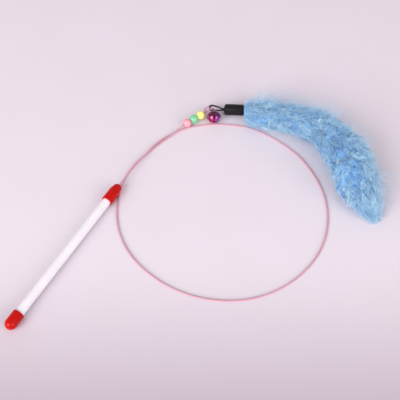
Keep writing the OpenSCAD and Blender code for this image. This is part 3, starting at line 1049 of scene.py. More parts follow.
@dataclass
class Ferrule:
    """The charcoal sleeve with a bullet shoulder and a ball nose, which holds the knot and the feathers' root."""

    radius: float = 5.7
    length: float = 21.0
    bore_r: float = 4.8
    shoulder: float = 3.4
    nose_r: float = 2.2
    hole_r: float = 1.7
    neck_share: float = 0.8
    ball_share: float = 0.87
    lip: tuple[float, float] = (0.16, 0.12)
    softening: float = 0.45

    def build(self) -> Piece:
        """Turns the ferrule and dresses it.

        Returns:
            The ferrule.
        """
        front = self.nose_r - math.sqrt(self.nose_r**2 - self.hole_r**2)
        neck = (self.nose_r / 2, self.nose_r * self.neck_share)
        bullet = [(self.shoulder - (self.shoulder - neck[0]) * math.cos(math.radians(a)),
                   neck[1] + (self.radius - neck[1]) * math.sin(math.radians(a))) for a in range(6, 91, 7)]
        outline = [(front, self.hole_r), (front + self.lip[0], self.hole_r + self.lip[1]),
                   (neck[0], self.nose_r * self.ball_share), *bullet, (self.length, self.radius),
                   (self.length, self.bore_r), (self.shoulder, self.bore_r), (self.shoulder, self.hole_r)]
        piece = turn_on_lathe("ferrule_moulding", outline, LAYOUT.ferrule_frame, True, self.softening, soften_over=50)
        FERRULE_BLACK.put_on(piece, "ferrule")
        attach(piece, "lure")
        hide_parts("feather_ferrule")
        return piece


@dataclass
class JingleBell:
    """The pressed bell: two lacquered shells, a wire shank and a loose pellet, all of the wand's own solids."""

    shells: tuple[str, str] = ("bell_top", "bell_base")
    tint: tuple[str, str] = ("#D4145E", "#C81488")
    roughness: float = 0.08

    def build(self) -> list[Piece]:
        """Dresses the bell's solids, with the painted reflections laid out from the middle of both shells.

        Returns:
            The shells, the shank and the pellet.
        """
        pieces = [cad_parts[node] for node in (*self.shells, "bell_shank", "bell_pellet")]
        points = [corner.co for shell in pieces[:2] for corner in shell.data.vertices]
        low, high = (tuple(f(p[i] for p in points) for i in range(3)) for f in (min, max))
        centre = tuple((a + b) / 2 for a, b in zip(low, high))
        # The lacquer carries painted reflections, laid out from the shells' middle and radius.
        lacquer = LacquerWithPaintedReflections("magenta_lacquered_steel", *self.tint, roughness=self.roughness, centre=centre,
                                radius=(high[2] - low[2]) / 2)
        for piece in pieces[:3]:
            lacquer.put_on(piece)
        PELLET_STEEL.put_on(pieces[3])
        return pieces


class Crop(Enum):
    """The kinds of barb: each one's width at its foot in millimetres, and how far its tips pale."""

    UNDER_DOWN = (0.24, 0.35)
    DOWN_PLUMES = (0.2, 0.7)
    DOWN_STRANDS = (0.75, 0.4)
    DOWN_WISPS = (0.1, 0.4)


@dataclass
class FeatherLure:
    """Marabou plumes spun on a string: a soft, bent body of down with wisps that fade out at its edges.

    Sizes are in millimetres. Along the body, s is the distance along its middle line in metres. Round it, an angle is
    measured from straight up towards the left, and a share is of the way from the middle line to the body's surface.
    """

    width: float = 45.0
    height: float = 32.5
    route: tuple[tuple[float, float], ...] = (
        (0.3, 0), (3, -0.05), (6.5, -2.1), (11, -6.4), (18, -9.5), (31.5, -10), (52.5, -15.8), (69, -22.2),
        (82.5, -31), (91.7, -44.2), (99.9, -60), (105.2, -76.2), (109.5, -96), (113.8, -108.3),
        (119.1, -120.8), (122.5, -128))
    width_shares: tuple[float, ...] = (
        0.235, 0.345, 0.49, 0.6, 0.63, 0.63, 0.74, 0.81, 0.81, 0.89, 1, 1, 0.92, 0.79, 0.48, 0.14)
    height_shares: tuple[float, ...] = (
        0.343, 0.4, 0.53, 0.63, 0.67, 0.67, 0.78, 0.84, 0.83, 0.9, 1, 1, 0.92, 0.79, 0.49, 0.16)
    outer_shares: tuple[float, ...] = (
        0.82, 0.76, 0.66, 0.65, 0.66, 0.66, 0.66, 0.68, 0.7, 0.72, 0.72, 0.72, 0.7, 0.6, 0.45, 0.36)
    inner_shares: tuple[float, ...] = (
        0.85, 0.85, 0.78, 0.8, 0.84, 0.85, 0.85, 0.85, 0.85, 0.86, 0.87, 0.87, 0.86, 0.72, 0.5, 0.4)
    # The outer side of the bend, where the down is thinnest and painted light pales its dye, and how much it pales.
    outer_side: float = math.radians(65)
    outer_painted_light: float = 0.5
    tail_run: float = 26.0
    tail_least: float = 0.5
    seed: int = 20
    # The string and the bound root.
    string_r: float = 0.8
    root_len: float = 10.0
    root_turns: int = 12
    root_r: tuple[float, float] = (4.35, 4.72)
    # The inner body, which sinks and swells a little in lumps that take the dye differently.
    body_sides: int = 40
    sink: float = 0.04
    body_dye: tuple[float, float] = (0.22, 0.12)
    # Every barb: how many knots and barbules, how it sweeps forward, strays, kinks and droops, and its taper.
    knots: int = 6
    barbules: int = 14
    barbule: float = 1.4
    sweep: float = 0.2
    stray_way: float = 0.24
    kink: float = 0.05
    droop: float = 0.08
    taper: float = 0.8
    barb_wide: tuple[float, float] = (0.7, 1.3)
    barbule_from: tuple[float, float] = (0.1, 0.98)
    barbule_vary: tuple[float, float] = (0.6, 1.3)
    barbule_way: tuple[float, float] = (0.85, 0.5)
    barbule_thin: float = 0.05
    largest: int = 7000
    # The under-down: how many barbs, their lengths, the tilts in degrees at which they lie, how far they then point
    # round the body and forward, its dye (the mean, how much it waves with runs of two lengths, and its scatter), and
    # how far it reaches past the dense down, as a share at least and in millimetres past the surface at most.
    under_down: int = 13000
    under_len: tuple[float, float] = (3.5, 6.5)
    under_tilt: tuple[float, float] = (25, 80)
    under_way: tuple[float, float] = (0.9, 0.5)
    under_dye: Point = (0.3, 0.14, 0.1)
    dye_runs: tuple[float, float] = (11, 7)
    under_reach: tuple[float, float] = (0.02, 0.8)
    # The plumes: how many, barbs on each, the share of the body that they stand on, how their quills reach out, lean
    # (more from a place near the tail, over a share of the body) and curl, how the barbs spread from them in degrees,
    # how long they are (shorter at the root, over a run there), and how far they may stand out.
    plumes: int = 380
    barbs: int = 64
    plume_span: tuple[float, float] = (0.004, 0.97)
    quill_from: float = 0.1
    quill_reach: tuple[float, float] = (0.5, 0.92)
    quill_r: tuple[float, float] = (0.26, 0.2)
    quill_lean: tuple[float, float] = (5, 5)
    tail_lean: Point = (16, 0.72, 0.28)
    quill_turn: float = 0.4
    quill_curl: float = 0.4
    barb_from: float = 0.22
    barb_jitter: float = 0.015
    barb_roll: float = 0.8
    barb_spread: Point = (66, 40, 10)
    plume_len: tuple[float, float] = (12.0, 3.5)
    plume_vary: tuple[float, float] = (0.7, 1.2)
    barb_vary: tuple[float, float] = (0.5, 1.2)
    plume_root: Point = (0.4, 0.6, 16)
    plume_dye: tuple[float, float] = (0.52, 0.22)
    barb_dye: float = 0.07
    fringe: float = 3.0
    quill_share: float = 0.6
    quill_depth: float = 2.0
    stray_run: tuple[float, float] = (2.0, 42.0)
    # The strands: fans of barbs that cling, some of them as bursts that stand out, and fans at marked places, which are
    # given by the run, angle, heading and dye of each. A dye of 0 is partly the down's own dye and partly painted
    # shade, for the dark gaps between strands. Fans keep clear of both ends, and get shorter at the root.
    fans: int = 1000
    strands: int = 9
    fan_clear: tuple[float, float] = (10, 3)
    strand_len: tuple[float, float] = (7, 13)
    strand_root: tuple[float, float] = (0.4, 20)
    strand_slip: float = 0.5
    fan_half: float = 0.55
    fan_heading: tuple[float, float] = (0.15, 1.0)
    fan_dyes_and_gap_shade: tuple[float, ...] = (0.0, 0.5, 1.0)
    fan_odds: tuple[float, ...] = (0.25, 0.4, 0.35)
    rise: tuple[float, float] = (0.3, 0.75)
    burst_rise: float = 0.6
    along_flat: float = 0.85
    along_burst: float = 0.5
    burst_share: float = 0.5
    burst_reach: float = 5.0
    flat_reach: float = 1.8
    marks: tuple[tuple[float, float, float, float], ...] = (
        (52, -25, 20, 1), (56, -40, -30, 1), (60, -28, 10, 1), (64, -45, -50, 0), (72, -22, 0, 1), (74, -40, -35, 0),
        (84, -50, -20, 0), (96, -45, -70, 1), (101, -62, -20, 1), (105, -75, -10, 1), (106, -66, -15, 0),
        (112, -40, 20, 1), (118, -30, -60, 0), (126, -10, 30, 1), (140, -20, 20, 1), (146, -5, -30, 0), (150, 20, 0, 1),
        (172, -20, 10, 0), (180, -30, 5, 1), (184, 0, -10, 0), (186, 25, -15, 1), (188, -10, 10, 0), (190, 40, 0, 1))
    # The wisps: how many, in tufts of how many, how the tufts thin out towards the tail, how far the wisps of a tuft
    # lie apart along and round the body, their least and most length, and how fast their number falls off with it.
    wisps: int = 16800
    tuft: int = 24
    tuft_thin: float = 1.25
    tuft_apart: tuple[float, float] = (1.6, 0.12)
    wisp_clear: tuple[float, float] = (0.6, 2)
    wisp_root: tuple[float, float] = (0.45, 14)
    wisp_len: tuple[float, float] = (2.5, 25)
    wisp_lean: tuple[float, float] = (0.15, 0.4)
    wisp_tail: Point = (1.2, 0.85, 0.15)
    wisp_dye: tuple[float, float] = (0.62, 0.14)
    tuft_vary: tuple[float, float] = (0.55, 1.45)
    near_fall: float = 3.5
    outer_fall: float = 9.6
    wisp_share: float = 2.6
    wisp_reach: float = 22.0
    # What holds all of it in: the tail's end, the ferrule's mouth, the frame's corners and the plane below.
    tail_reach: tuple[float, float] = (0.3, 5.0)
    kin: tuple[float, float] = (0.45, 0.55)
    knee: float = 0.55
    least_half: float = 14.0
    mouth_gap: float = 0.9
    mouth_ease: tuple[float, float] = (1.5, 9.0)
    loose_room: tuple[float, float] = (2.0, 9.0)
    loose_from: tuple[tuple[int, float], ...] = ((0, 345.0), (2, 26.0))
    floor_gap: float = 0.2
    line: Array = field(init=False)
    run: Array = field(init=False)
    ways: Array = field(init=False)
    left: Array = field(init=False)
    half_w: Array = field(init=False)
    half_h: Array = field(init=False)
    outer_dense: Array = field(init=False)
    inner_dense: Array = field(init=False)

    def lay_out(self) -> None:
        """Works out the body's middle line and its half sizes and directions at each point, in metres."""
        root = LAYOUT.loop_len + LAYOUT.ferrule_len
        low = LAYOUT.ground - LAYOUT.eye_place[2] + LAYOUT.rest_gap
        shares = zip(self.route, self.width_shares, self.height_shares, self.outer_shares, self.inner_shares)
        full = smooth_line([
            (root + x, y, low + self.height / 2 * h, self.width / 2 * w, self.height / 2 * h, outer, inner)
            for (x, y), w, h, outer, inner in shares], 1.0)
        self.line = LAYOUT.at_lure(full[:, :3])
        self.half_w, self.half_h = full[:, 3] * MM, full[:, 4] * MM
        self.outer_dense, self.inner_dense = full[:, 5], full[:, 6]
        self.ways = line_ways(self.line * np.array([1, 1, 0]))
        self.left = np.cross(np.array([0, 0, 1.0]), self.ways)
        self.run = np.concatenate([[0], np.cumsum(np.linalg.norm(np.diff(self.line, axis=0), axis=1))])

    def read(self, s: Array, values: Array) -> Array:
        """Reads what is given at each point of the middle line.

        Args:
            s: Distance along the middle line.
            values: One value, or one row of three, for each point of the line.

        Returns:
            The values, or rows, at those distances.
        """
        if values.ndim == 1:
            return np.interp(s, self.run, values)
        return np.stack([np.interp(s, self.run, values[:, i]) for i in range(3)], -1)

    def thin_side(self, angle: Array) -> Array:
        """Says how thin the down is round the body: 1 at the outer side of the bend, 0 away from it."""
        return np.clip(np.cos(angle - self.outer_side), 0, 1) ** 2

    def tail_share(self, s: Array) -> Array:
        """Says what share of their length barbs have near the tail's end, where the plumes run out."""
        return np.clip(self.tail_least + (self.run[-1] - s) / (self.tail_run * MM), 0, 1)

    def dense(self, s: Array, angle: Array) -> Array:
        """Says how far the dense down reaches, which is less far on the outer side of the bend.

        Args:
            s: Distance along the middle line.
            angle: Angle round the body.

        Returns:
            Shares of the way to the body's surface.
        """
        outer, inner = self.read(s, self.outer_dense), self.read(s, self.inner_dense)
        return inner + (outer - inner) * self.thin_side(angle)

    def at(self, s: Array, angle: Array, share: Array) -> Array:
        """Places points in the body's own terms.

        Args:
            s: Distance along the middle line.
            angle: Angle round the body.
            share: Share of the way to the body's surface.

        Returns:
            The points, in metres.
        """
        past = np.clip(s, 0, self.run[-1])
        middle = self.read(past, self.line) + self.read(past, self.ways) * (s - past)[..., None]
        wide = share * self.read(past, self.half_w) * np.sin(angle)
        tall = share * self.read(past, self.half_h) * np.cos(angle)
        return middle + self.read(past, self.left) * wide[..., None] + np.array([0, 0, 1.0]) * tall[..., None]

    def foot_and_way(self, s: Array, angle: Array, share: Array, sunk: float) -> tuple[Array, Array]:
        """Places the feet of barbs and finds the way straight out of the body there.

        Args:
            s: Distance along the middle line.
            angle: Angle round the body.
            share: Share of the way to the body's surface that the down is dense to.
            sunk: How much less that share is at the feet.

        Returns:
            The feet, in metres, and the ways out.
        """
        base = self.at(s, angle, share - sunk)
        return base, unit(self.at(s, angle, share + 0.1) - base)

    def make_string(self) -> Piece:
        """Makes the string that the plumes are spun on, from the bound root to short of the tail's end.

        Returns:
            The string.
        """
        root = LAYOUT.loop_len + LAYOUT.ferrule_len
        lead = LAYOUT.at_lure([(root - self.root_len, 0, LAYOUT.ferrule_axis), (root, 0, LAYOUT.ferrule_axis)])
        line = smooth_line(np.vstack([lead, self.line[4:-8:6]]), 1.5 * MM)
        piece = sweep_tube("spun_string", line, self.string_r * MM, sides=10)
        STRING_PALE.put_on(piece, "feather_string")
        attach(piece, "lure")
        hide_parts("feather_core")
        return piece

    def make_root(self) -> Piece:
        """Turns the bound root that fills the ferrule's mouth, with the binding's turns as rings.

        Returns:
            The root.
        """
        pitch = self.root_len / self.root_turns
        valley, crest = self.root_r
        outline = [(0.0, 0.0)]
        for i in range(self.root_turns):
            outline += [(i * pitch + 0.15 * pitch, valley), (i * pitch + 0.5 * pitch, crest),
                        (i * pitch + 0.85 * pitch, valley)]
        outline.append((self.root_len, 0.0))
        place = LAYOUT.ferrule_frame @ Matrix.Translation(Vector(((LAYOUT.ferrule_len - self.root_len) * MM, 0, 0)))
        piece = turn_on_lathe("bound_root", outline, place, closed=False, steps=40)
        BOUND_ROOT.put_on(piece, "feather_string")
        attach(piece, "lure")
        return piece

    def make_body(self) -> Piece:
        """Makes the dense inner down: a lumpy closed form inside the plumes.

        Returns:
            The inner body.
        """
        rng = np.random.default_rng(self.seed)
        sides = self.body_sides
        rows = np.arange(0, len(self.line), 2)
        angles = np.arange(sides) / sides * math.tau
        lumps = rng.uniform(-1, 1, (len(rows), sides))
        for _ in range(2):
            lumps = sum((np.roll(lumps, *step) for step in ((1, 1), (-1, 1), (1, 0), (-1, 0))), lumps) / 3
        mesh = bmesh.new()
        dye, tip = (mesh.verts.layers.float.new(name) for name in (DYE_AND_PAINTED_LIGHT, TIP))
        rings = []
        for row, lump in zip(rows, lumps):
            here = np.full(sides, self.run[row])
            share = self.dense(here, angles) - self.sink + self.sink * lump
            rings.append([mesh.verts.new(point) for point in self.at(here, angles, share)])
            for vertex, swell in zip(rings[-1], lump):
                vertex[dye], vertex[tip] = self.body_dye[0] + self.body_dye[1] * float(swell), 0.0
        for a, b in zip(rings, rings[1:]):
            for k in range(sides):
                mesh.faces.new((a[k], a[(k + 1) % sides], b[(k + 1) % sides], b[k]))
        mesh.faces.new(list(reversed(rings[0])))
        mesh.faces.new(rings[-1])
        bmesh.ops.recalc_face_normals(mesh, faces=mesh.faces)
        for face in mesh.faces:
            face.smooth = True
        piece = link_mesh("inner_down", mesh)
        BLUE_DOWN.put_on(piece, "feather_down")
        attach(piece, "lure")
        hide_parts("feather_boa")
        return piece

    def bend_barbs(self, base: Array, way: Array, ahead: Array, size: Array, rng: Random) -> Array:
        """Bends barbs from their feet: each leaves its shaft, sweeps forward and droops a little.

        Args:
            base: Feet of the barbs.
            way: Their first directions.
            ahead: The direction that each sweeps towards.
            size: Their lengths.
            rng: The seeded source of randomness.

        Returns:
            Rows of points, one row for each barb.
        """
        u = np.linspace(0, 1, self.knots)[None, :, None]
        drift = rng.normal(0, self.stray_way, way.shape)[:, None]
        kink = rng.normal(0, self.kink, (len(base), self.knots, 3)) * u
        fall = np.array([0, 0, -self.droop])
        return base[:, None] + size[:, None, None] * (
            way[:, None] * u + (ahead[:, None] * self.sweep + drift + fall) * u**2 + kink)

    def plant_under_down(self, rng: Random) -> tuple[Array, Array]:
        """Plants short down all over the inner body, dyed in soft waves and paled by painted light on the outer side of
        the bend.

        Args:
            rng: The seeded source of randomness.

        Returns:
            The barbs' points, and their dye with painted light.
        """
        s = rng.uniform(0.2 * MM, self.run[-1], self.under_down * 3)
        girth = self.read(s, self.half_w + self.half_h)
        s = s[rng.uniform(0, girth.max(), len(s)) < girth][: self.under_down]
        angle = rng.uniform(0, math.tau, len(s))
        base, out = self.foot_and_way(s, angle, self.dense(s, angle) - self.sink, 0)
        any_way = rng.normal(0, 1, base.shape)
        along = unit(any_way - dots(any_way, out)[:, None] * out)
        forward = self.read(s, self.ways)
        tilt = np.radians(rng.uniform(*self.under_tilt, len(s)))[:, None]
        way = out * np.cos(tilt) + (along * self.under_way[0] + forward * self.under_way[1]) * np.sin(tilt)
        size = rng.uniform(*self.under_len, len(s)) * MM * np.clip(girth[: len(s)] / girth.max() + 0.25, 0.4, 1)
        lines = self.bend_barbs(base, way, forward, size, rng)
        first, second = self.dye_runs
        wave = np.sin(s / (first * MM) + 2 * np.sin(angle)) + np.sin(3 * angle + s / (second * MM))
        mean, waving, scatter = self.under_dye
        # The dye, with painted light that pales the outer side of the bend.
        tint = mean + waving * wave + rng.normal(0, scatter, len(s)) + self.outer_painted_light * self.thin_side(angle)
        near, far = self.under_reach
        return self.keep_in(lines, s, self.dense(s, angle) + near, far), np.clip(tint, 0, 1)

    def grow_plumes(self, rng: Random) -> tuple[Array, Array, Array, Array]:
        """Grows the long plumes: each is a curved quill with barbs all round, and leans back near the tail.

        Args:
            rng: The seeded source of randomness.

        Returns:
            The barbs' points and dye with painted light, and the quills' points and dye.
        """
        total, n, m = self.run[-1], self.plumes, self.barbs
        s0 = total * (self.plume_span[0] + self.plume_span[1] * (np.arange(n) + rng.uniform(0, 1, n)) / n)
        angle0 = np.arange(n) * GOLDEN_TURN + rng.normal(0, self.quill_turn, n)
        reach = rng.uniform(*self.quill_reach, n)
        most, start, over = self.tail_lean
        lean = (rng.normal(*self.quill_lean, n) + most * np.clip((s0 / total - start) / over, 0, 1)) * MM
        lean = np.clip(lean, -0.5 * s0, total + 1 * MM - s0)
        curl = rng.normal(0, self.quill_curl, n)
        dye = np.clip(rng.normal(*self.plume_dye, n), 0, 1)

        def quill(t: Array) -> Array:
            """Places points of every quill, at shares t of its length."""
            share = self.quill_from + (reach[:, None] - self.quill_from) * t**0.85
            return self.at(s0[:, None] + lean[:, None] * t**1.4, angle0[:, None] + curl[:, None] * t**2, share)

        jitter = rng.uniform(-self.barb_jitter, self.barb_jitter, (n, m))
        t = np.clip(np.linspace(self.barb_from, 1, m)[None] + jitter, 0.1, 1)
        base = quill(t)
        ahead = unit(quill(t + 0.03) - quill(t - 0.03))
        side = unit(np.cross(ahead, rng.normal(0, 1, (n, 1, 3))))
        roll = rng.normal(0, self.barb_roll, (n, m)) + np.where(np.arange(m) % 2, 0, math.pi)[None]
        across = side * np.cos(roll)[..., None] + np.cross(ahead, side) * np.sin(roll)[..., None]
        widest, narrowing, scatter = self.barb_spread
        spread = np.radians(widest - narrowing * t**2 + rng.normal(0, scatter, (n, m)))
        way = ahead * np.cos(spread)[..., None] + across * np.sin(spread)[..., None]
        size = rng.uniform(*self.plume_vary, (n, 1)) * (self.plume_len[0] - self.plume_len[1] * t**2)
        size = size * rng.uniform(*self.barb_vary, (n, m)) * MM
        least, gain, over = self.plume_root
        size = size * ((least + gain * np.clip(s0 / (over * MM), 0, 1)) * self.tail_share(s0))[:, None]
        lines = self.bend_barbs(*(a.reshape(-1, 3) for a in (base, way, ahead)), size.ravel(), rng)
        shafts = quill(np.tile(np.linspace(0.02, 0.95, self.knots), (n, 1)))
        tint = np.repeat(dye, m) + rng.normal(0, self.barb_dye, n * m)
        where, angle = np.repeat(s0, m), np.repeat(angle0, m)
        # Painted light pales the barbs on the outer side of the bend.
        tint = np.clip(tint + self.outer_painted_light * self.thin_side(angle), 0, 1)
        far = self.fringe - 2 * self.thin_side(angle)
        lines = self.keep_in(lines, where, self.dense(where, angle), far, 1.2, m)
        shafts = self.keep_in(shafts, s0, self.quill_share, -self.quill_depth)
        top = np.linspace(0, 1, self.knots)
        # One stray quill lies on top of the root, in a slight curve just clear of the down.
        stray = self.at(self.stray_run[0] * MM + (self.stray_run[1] - self.stray_run[0]) * MM * top,
                        np.radians(-38 + 22 * np.sin(3.4 * top)), 1.16 - 0.1 * top)
        return lines, tint, np.concatenate([shafts, stray[None]]), np.append(dye, 0.0)

    def float_wisps(self, rng: Random) -> tuple[Array, Array]:
        """Grows the thin, long wisps that stand out of the body, longest at the outer side of its bend.

        Args:
            rng: The seeded source of randomness.

        Returns:
            The barbs' points, and their dye.
        """
        tufts, each, total = self.wisps // self.tuft, self.tuft, self.run[-1]
        count = tufts * each
        along, around = self.tuft_apart
        s = np.repeat(total * rng.uniform(0, 1, tufts) ** self.tuft_thin, each) + rng.normal(0, along * MM, count)
        s = np.clip(s, self.wisp_clear[0] * MM, total - self.wisp_clear[1] * MM)
        angle = np.repeat(rng.uniform(0, math.tau, tufts), each) + rng.normal(0, around, count)
        lean = np.repeat(rng.normal(*self.wisp_lean, tufts), each) + rng.normal(0, 0.2, count)
        outer = np.clip(0.5 + 0.7 * np.cos(angle - self.outer_side), 0, 1)
        base, out = self.foot_and_way(s, angle, self.dense(s, angle), 0.1)
        forward = self.read(s, self.ways)
        most, start, over = self.wisp_tail
        lean = np.maximum(lean + most * np.clip((s / total - start) / over, 0, 1), -s / (9 * MM))
        way = unit(out + forward * lean[:, None] + rng.normal(0, 0.2, (count, 3)))
        fall = self.near_fall + (self.outer_fall - self.near_fall) * outer
        fall *= np.repeat(rng.uniform(*self.tuft_vary, tufts), each)
        size = (self.wisp_len[0] + np.minimum(rng.exponential(1, count) * fall, self.wisp_len[1])) * MM
        size *= np.clip(self.wisp_root[0] + s / (self.wisp_root[1] * MM), 0, 1) * self.tail_share(s)
        lines = self.bend_barbs(base, way, forward, size, rng)
        held = self.keep_in(lines, s, self.wisp_share, self.wisp_reach, 1.0)
        return held, np.clip(rng.normal(*self.wisp_dye, count), 0, 1)

    def comb_strands(self, rng: Random) -> tuple[Array, Array]:
        """Grows strands in which barbs cling together, in fans over the body; the darkest fans carry painted shade for
        the gaps between strands.

        Args:
            rng: The seeded source of randomness.

        Returns:
            The strands' points, and their dye with painted light and painted shade.
        """
        marks = np.array(self.marks)
        fans, each, total = self.fans + len(marks), self.strands, self.run[-1]
        near, far = self.fan_clear
        s = np.append(rng.uniform(near * MM, total - far * MM, self.fans), marks[:, 0] * MM)
        angle = np.append(rng.uniform(0, math.tau, self.fans), np.radians(marks[:, 1]))
        heading = np.append(rng.normal(*self.fan_heading, self.fans), np.radians(marks[:, 2]))
        # The fans' dye: the darkest, 0, is partly the down's own dye and partly painted shade of the gaps between
        # strands.
        dye = rng.choice(self.fan_dyes_and_gap_shade, self.fans, p=self.fan_odds) + rng.normal(0, 0.08, self.fans)
        dye = np.append(np.clip(dye, 0, 1), marks[:, 3])
        s, angle, dye = (np.repeat(v, each) for v in (s, angle, dye))
        fanned = np.tile(np.linspace(-self.fan_half, self.fan_half, each), fans)
        heading = np.repeat(heading, each) + fanned + rng.normal(0, 0.08, len(s))
        base, out = self.foot_and_way(s, angle, self.dense(s, angle), 0.05)
        forward = self.read(s, self.ways)
        along = forward * np.cos(heading)[:, None] + np.cross(forward, out) * np.sin(heading)[:, None]
        burst = np.repeat(rng.uniform(0, 1, fans) < self.burst_share, each)
        burst[-len(marks) * each:] = False
        rise = rng.uniform(*self.rise, len(s)) + self.burst_rise * burst
        way = along * np.where(burst, self.along_burst, self.along_flat)[:, None] + out * rise[:, None]
        base = base + rng.normal(0, self.strand_slip * MM, base.shape)
        least, over = self.strand_root
        size = rng.uniform(*self.strand_len, len(s)) * MM * np.clip(least + s / (over * MM), least, 1)
        lines = self.bend_barbs(base, way, along, size, rng)
        most = np.where(burst, self.burst_reach, self.flat_reach)
        held = self.keep_in(lines, s, self.dense(s, angle) + 0.05, most, 1.0, each)
        # The dye, with painted light that pales the outer side of the bend.
        return held, np.clip(dye + rng.normal(0, 0.12, len(s)) + self.outer_painted_light * self.thin_side(angle), 0, 1)

    def keep_in(
        self, lines: Array, s: Array, least: Array | float, most: Array | float, skew: float = 1.4, group: int = 1,
    ) -> Array:
        """Holds barbs over the plane and each within its own distance of the middle line, so that edges fade.

        Args:
            lines: Rows of points, one row for each barb.
            s: Where each barb stands along the body.
            least: The nearest limit, as a share of the way to the body's surface.
            most: The farthest limit, in millimetres out of the body's surface.
            skew: Over 1, more barbs end near the nearest limit than near the farthest.
            group: How many barbs in a row belong to one plume, which ends at much the same distance.

        Returns:
            The held rows.
        """
        rng = np.random.default_rng(self.seed + len(lines))
        knots, last = lines.shape[1], len(self.line) - 1
        flat = lines.reshape(-1, 3).copy()
        rows = np.repeat(np.searchsorted(self.run, s).clip(0, last), knots)
        for _ in range(4):
            ahead = dots(flat - self.line[rows], self.ways[rows])
            rows = np.clip(rows + np.rint(ahead / MM * 0.8).astype(int), 0, last)
        # Past the tail's end, each barb has its own room.
        past = dots(flat - self.line[rows], self.ways[rows])
        over = np.where(rows == last, np.maximum(past, 0), 0)
        reach = np.repeat((self.tail_reach[0] + self.tail_reach[1] * rng.uniform(0, 1, len(lines)) ** 2) * MM, knots)
        flat += self.ways[rows] * (reach * np.tanh(over / reach) - over)[:, None]
        # Across the body, each barb eases off at a limit of its own.
        off = flat - self.line[rows]
        x, z = dots(off, self.left[rows]) / self.half_w[rows], off[:, 2] / self.half_h[rows]
        far = np.hypot(x, z)
        draw = rng.uniform(0, 1, len(lines))
        if group > 1:
            draw = self.kin[0] * draw + self.kin[1] * np.repeat(rng.uniform(0, 1, len(lines) // group), group)
        draw = np.repeat(draw**skew, knots)
        least, most = (np.repeat(np.broadcast_to(v, len(lines)), knots) for v in (least, most))
        limit = least + (1 + most * MM / np.maximum(self.half_w[rows], self.least_half * MM) - least) * draw
        knee = self.knee * limit
        held = np.where(far > knee, knee + (limit - knee) * np.tanh((far - knee) / (limit - knee)), far)
        scale = held / np.maximum(far, 1e-6)
        flat += self.left[rows] * (x * (scale - 1) * self.half_w[rows])[:, None]
        flat[:, 2] += z * (scale - 1) * self.half_h[rows]
        # At the ferrule's mouth, barbs are pushed clear of its rim.
        ease = np.repeat(rng.uniform(*self.mouth_ease, len(lines)), knots)
        ahead = np.minimum((flat - self.line[0]) @ self.ways[0] / MM - self.mouth_gap - ease, 0)
        pushed = ease * (np.exp(ahead / ease) - 1) - ahead
        flat += self.ways[0] * (pushed * MM)[:, None]
        # Far out and high up, each barb has only its own room left.
        room = np.repeat(rng.uniform(*self.loose_room, len(lines)) * MM, knots)
        for axis, start in self.loose_from:
            over = np.maximum(flat[:, axis] - start * MM, 0)
            flat[:, axis] += room * (1 - np.exp(-over / room)) - over
        # Over the plane, barbs come to lie just clear of it.
        floor = LAYOUT.ground * MM + self.floor_gap * MM
        low = flat[:, 2] < floor + MM
        flat[low, 2] = floor + MM * np.exp((flat[low, 2] - floor - MM) / MM)
        return flat.reshape(lines.shape)

    def skin_barbs(self, name: str, lines: Array, tint: Array, crop: Crop, rng: Random) -> Piece:
        """Turns barb lines into tapering ribbons with fine barbules, which are single small triangles.

        Args:
            name: Name of the new piece.
            lines: Rows of points, one row for each barb.
            tint: The dye of each barb.
            crop: The kind of barb.
            rng: The seeded source of randomness.

        Returns:
            The piece.
        """
        wide, paling = crop.value
        count, k, b = len(lines), self.knots, self.barbules
        ways = unit(np.gradient(lines, axis=1))
        flat = unit(np.cross(ways, rng.normal(0, 1, (count, 1, 3))))
        taper = (1 - self.taper * np.linspace(0, 1, k))[None, :, None]
        half = wide / 2 * MM * rng.uniform(*self.barb_wide, (count, 1, 1)) * taper
        ribbon = np.stack([lines + flat * half, lines - flat * half], 2).reshape(count * 2 * k, 3)
        where = np.tile(np.repeat(np.linspace(0, 1, k), 2), count)
        quads = np.array([[2 * i, 2 * i + 1, 2 * i + 3, 2 * i + 2] for i in range(k - 1)])
        faces = (quads[None] + (np.arange(count) * 2 * k)[:, None, None]).reshape(-1, 4)
        at = np.sort(rng.uniform(*self.barbule_from, (count, b)), axis=1) * (k - 1)
        low = np.minimum(at.astype(int), k - 2)
        rest, share = (at - low)[..., None], at / (k - 1)
        pick = np.arange(count)[:, None]
        foot = lines[pick, low] * (1 - rest) + lines[pick, low + 1] * rest
        along = ways[pick, low]
        out = unit(np.cross(along, rng.normal(0, 1, (count, b, 3))))
        length = self.barbule * MM * (rng.uniform(*self.barbule_vary, (count, b)) * (1 - 0.6 * share))[..., None]
        tips = foot + (out * self.barbule_way[0] + along * self.barbule_way[1]) * length
        tips[..., 2] = np.maximum(tips[..., 2], LAYOUT.ground * MM + self.floor_gap / 2 * MM)
        thin = along * (self.barbule_thin * MM)
        tri = np.stack([foot - thin, foot + thin, tips], 2).reshape(-1, 3)
        tris = count * 2 * k + np.arange(count * b * 3).reshape(-1, 3)
        shade = np.concatenate([np.repeat(tint, 2 * k), np.repeat(tint, b * 3)])
        tips_pale = (paling * share**2)[..., None].repeat(3, -1).ravel() + np.tile([0, 0, 0.1], count * b)
        pale = np.concatenate([paling * where**2, tips_pale])
        return self.mesh_from(name, np.vstack([ribbon, tri]), faces, tris, shade, pale, BLUE_DOWN)

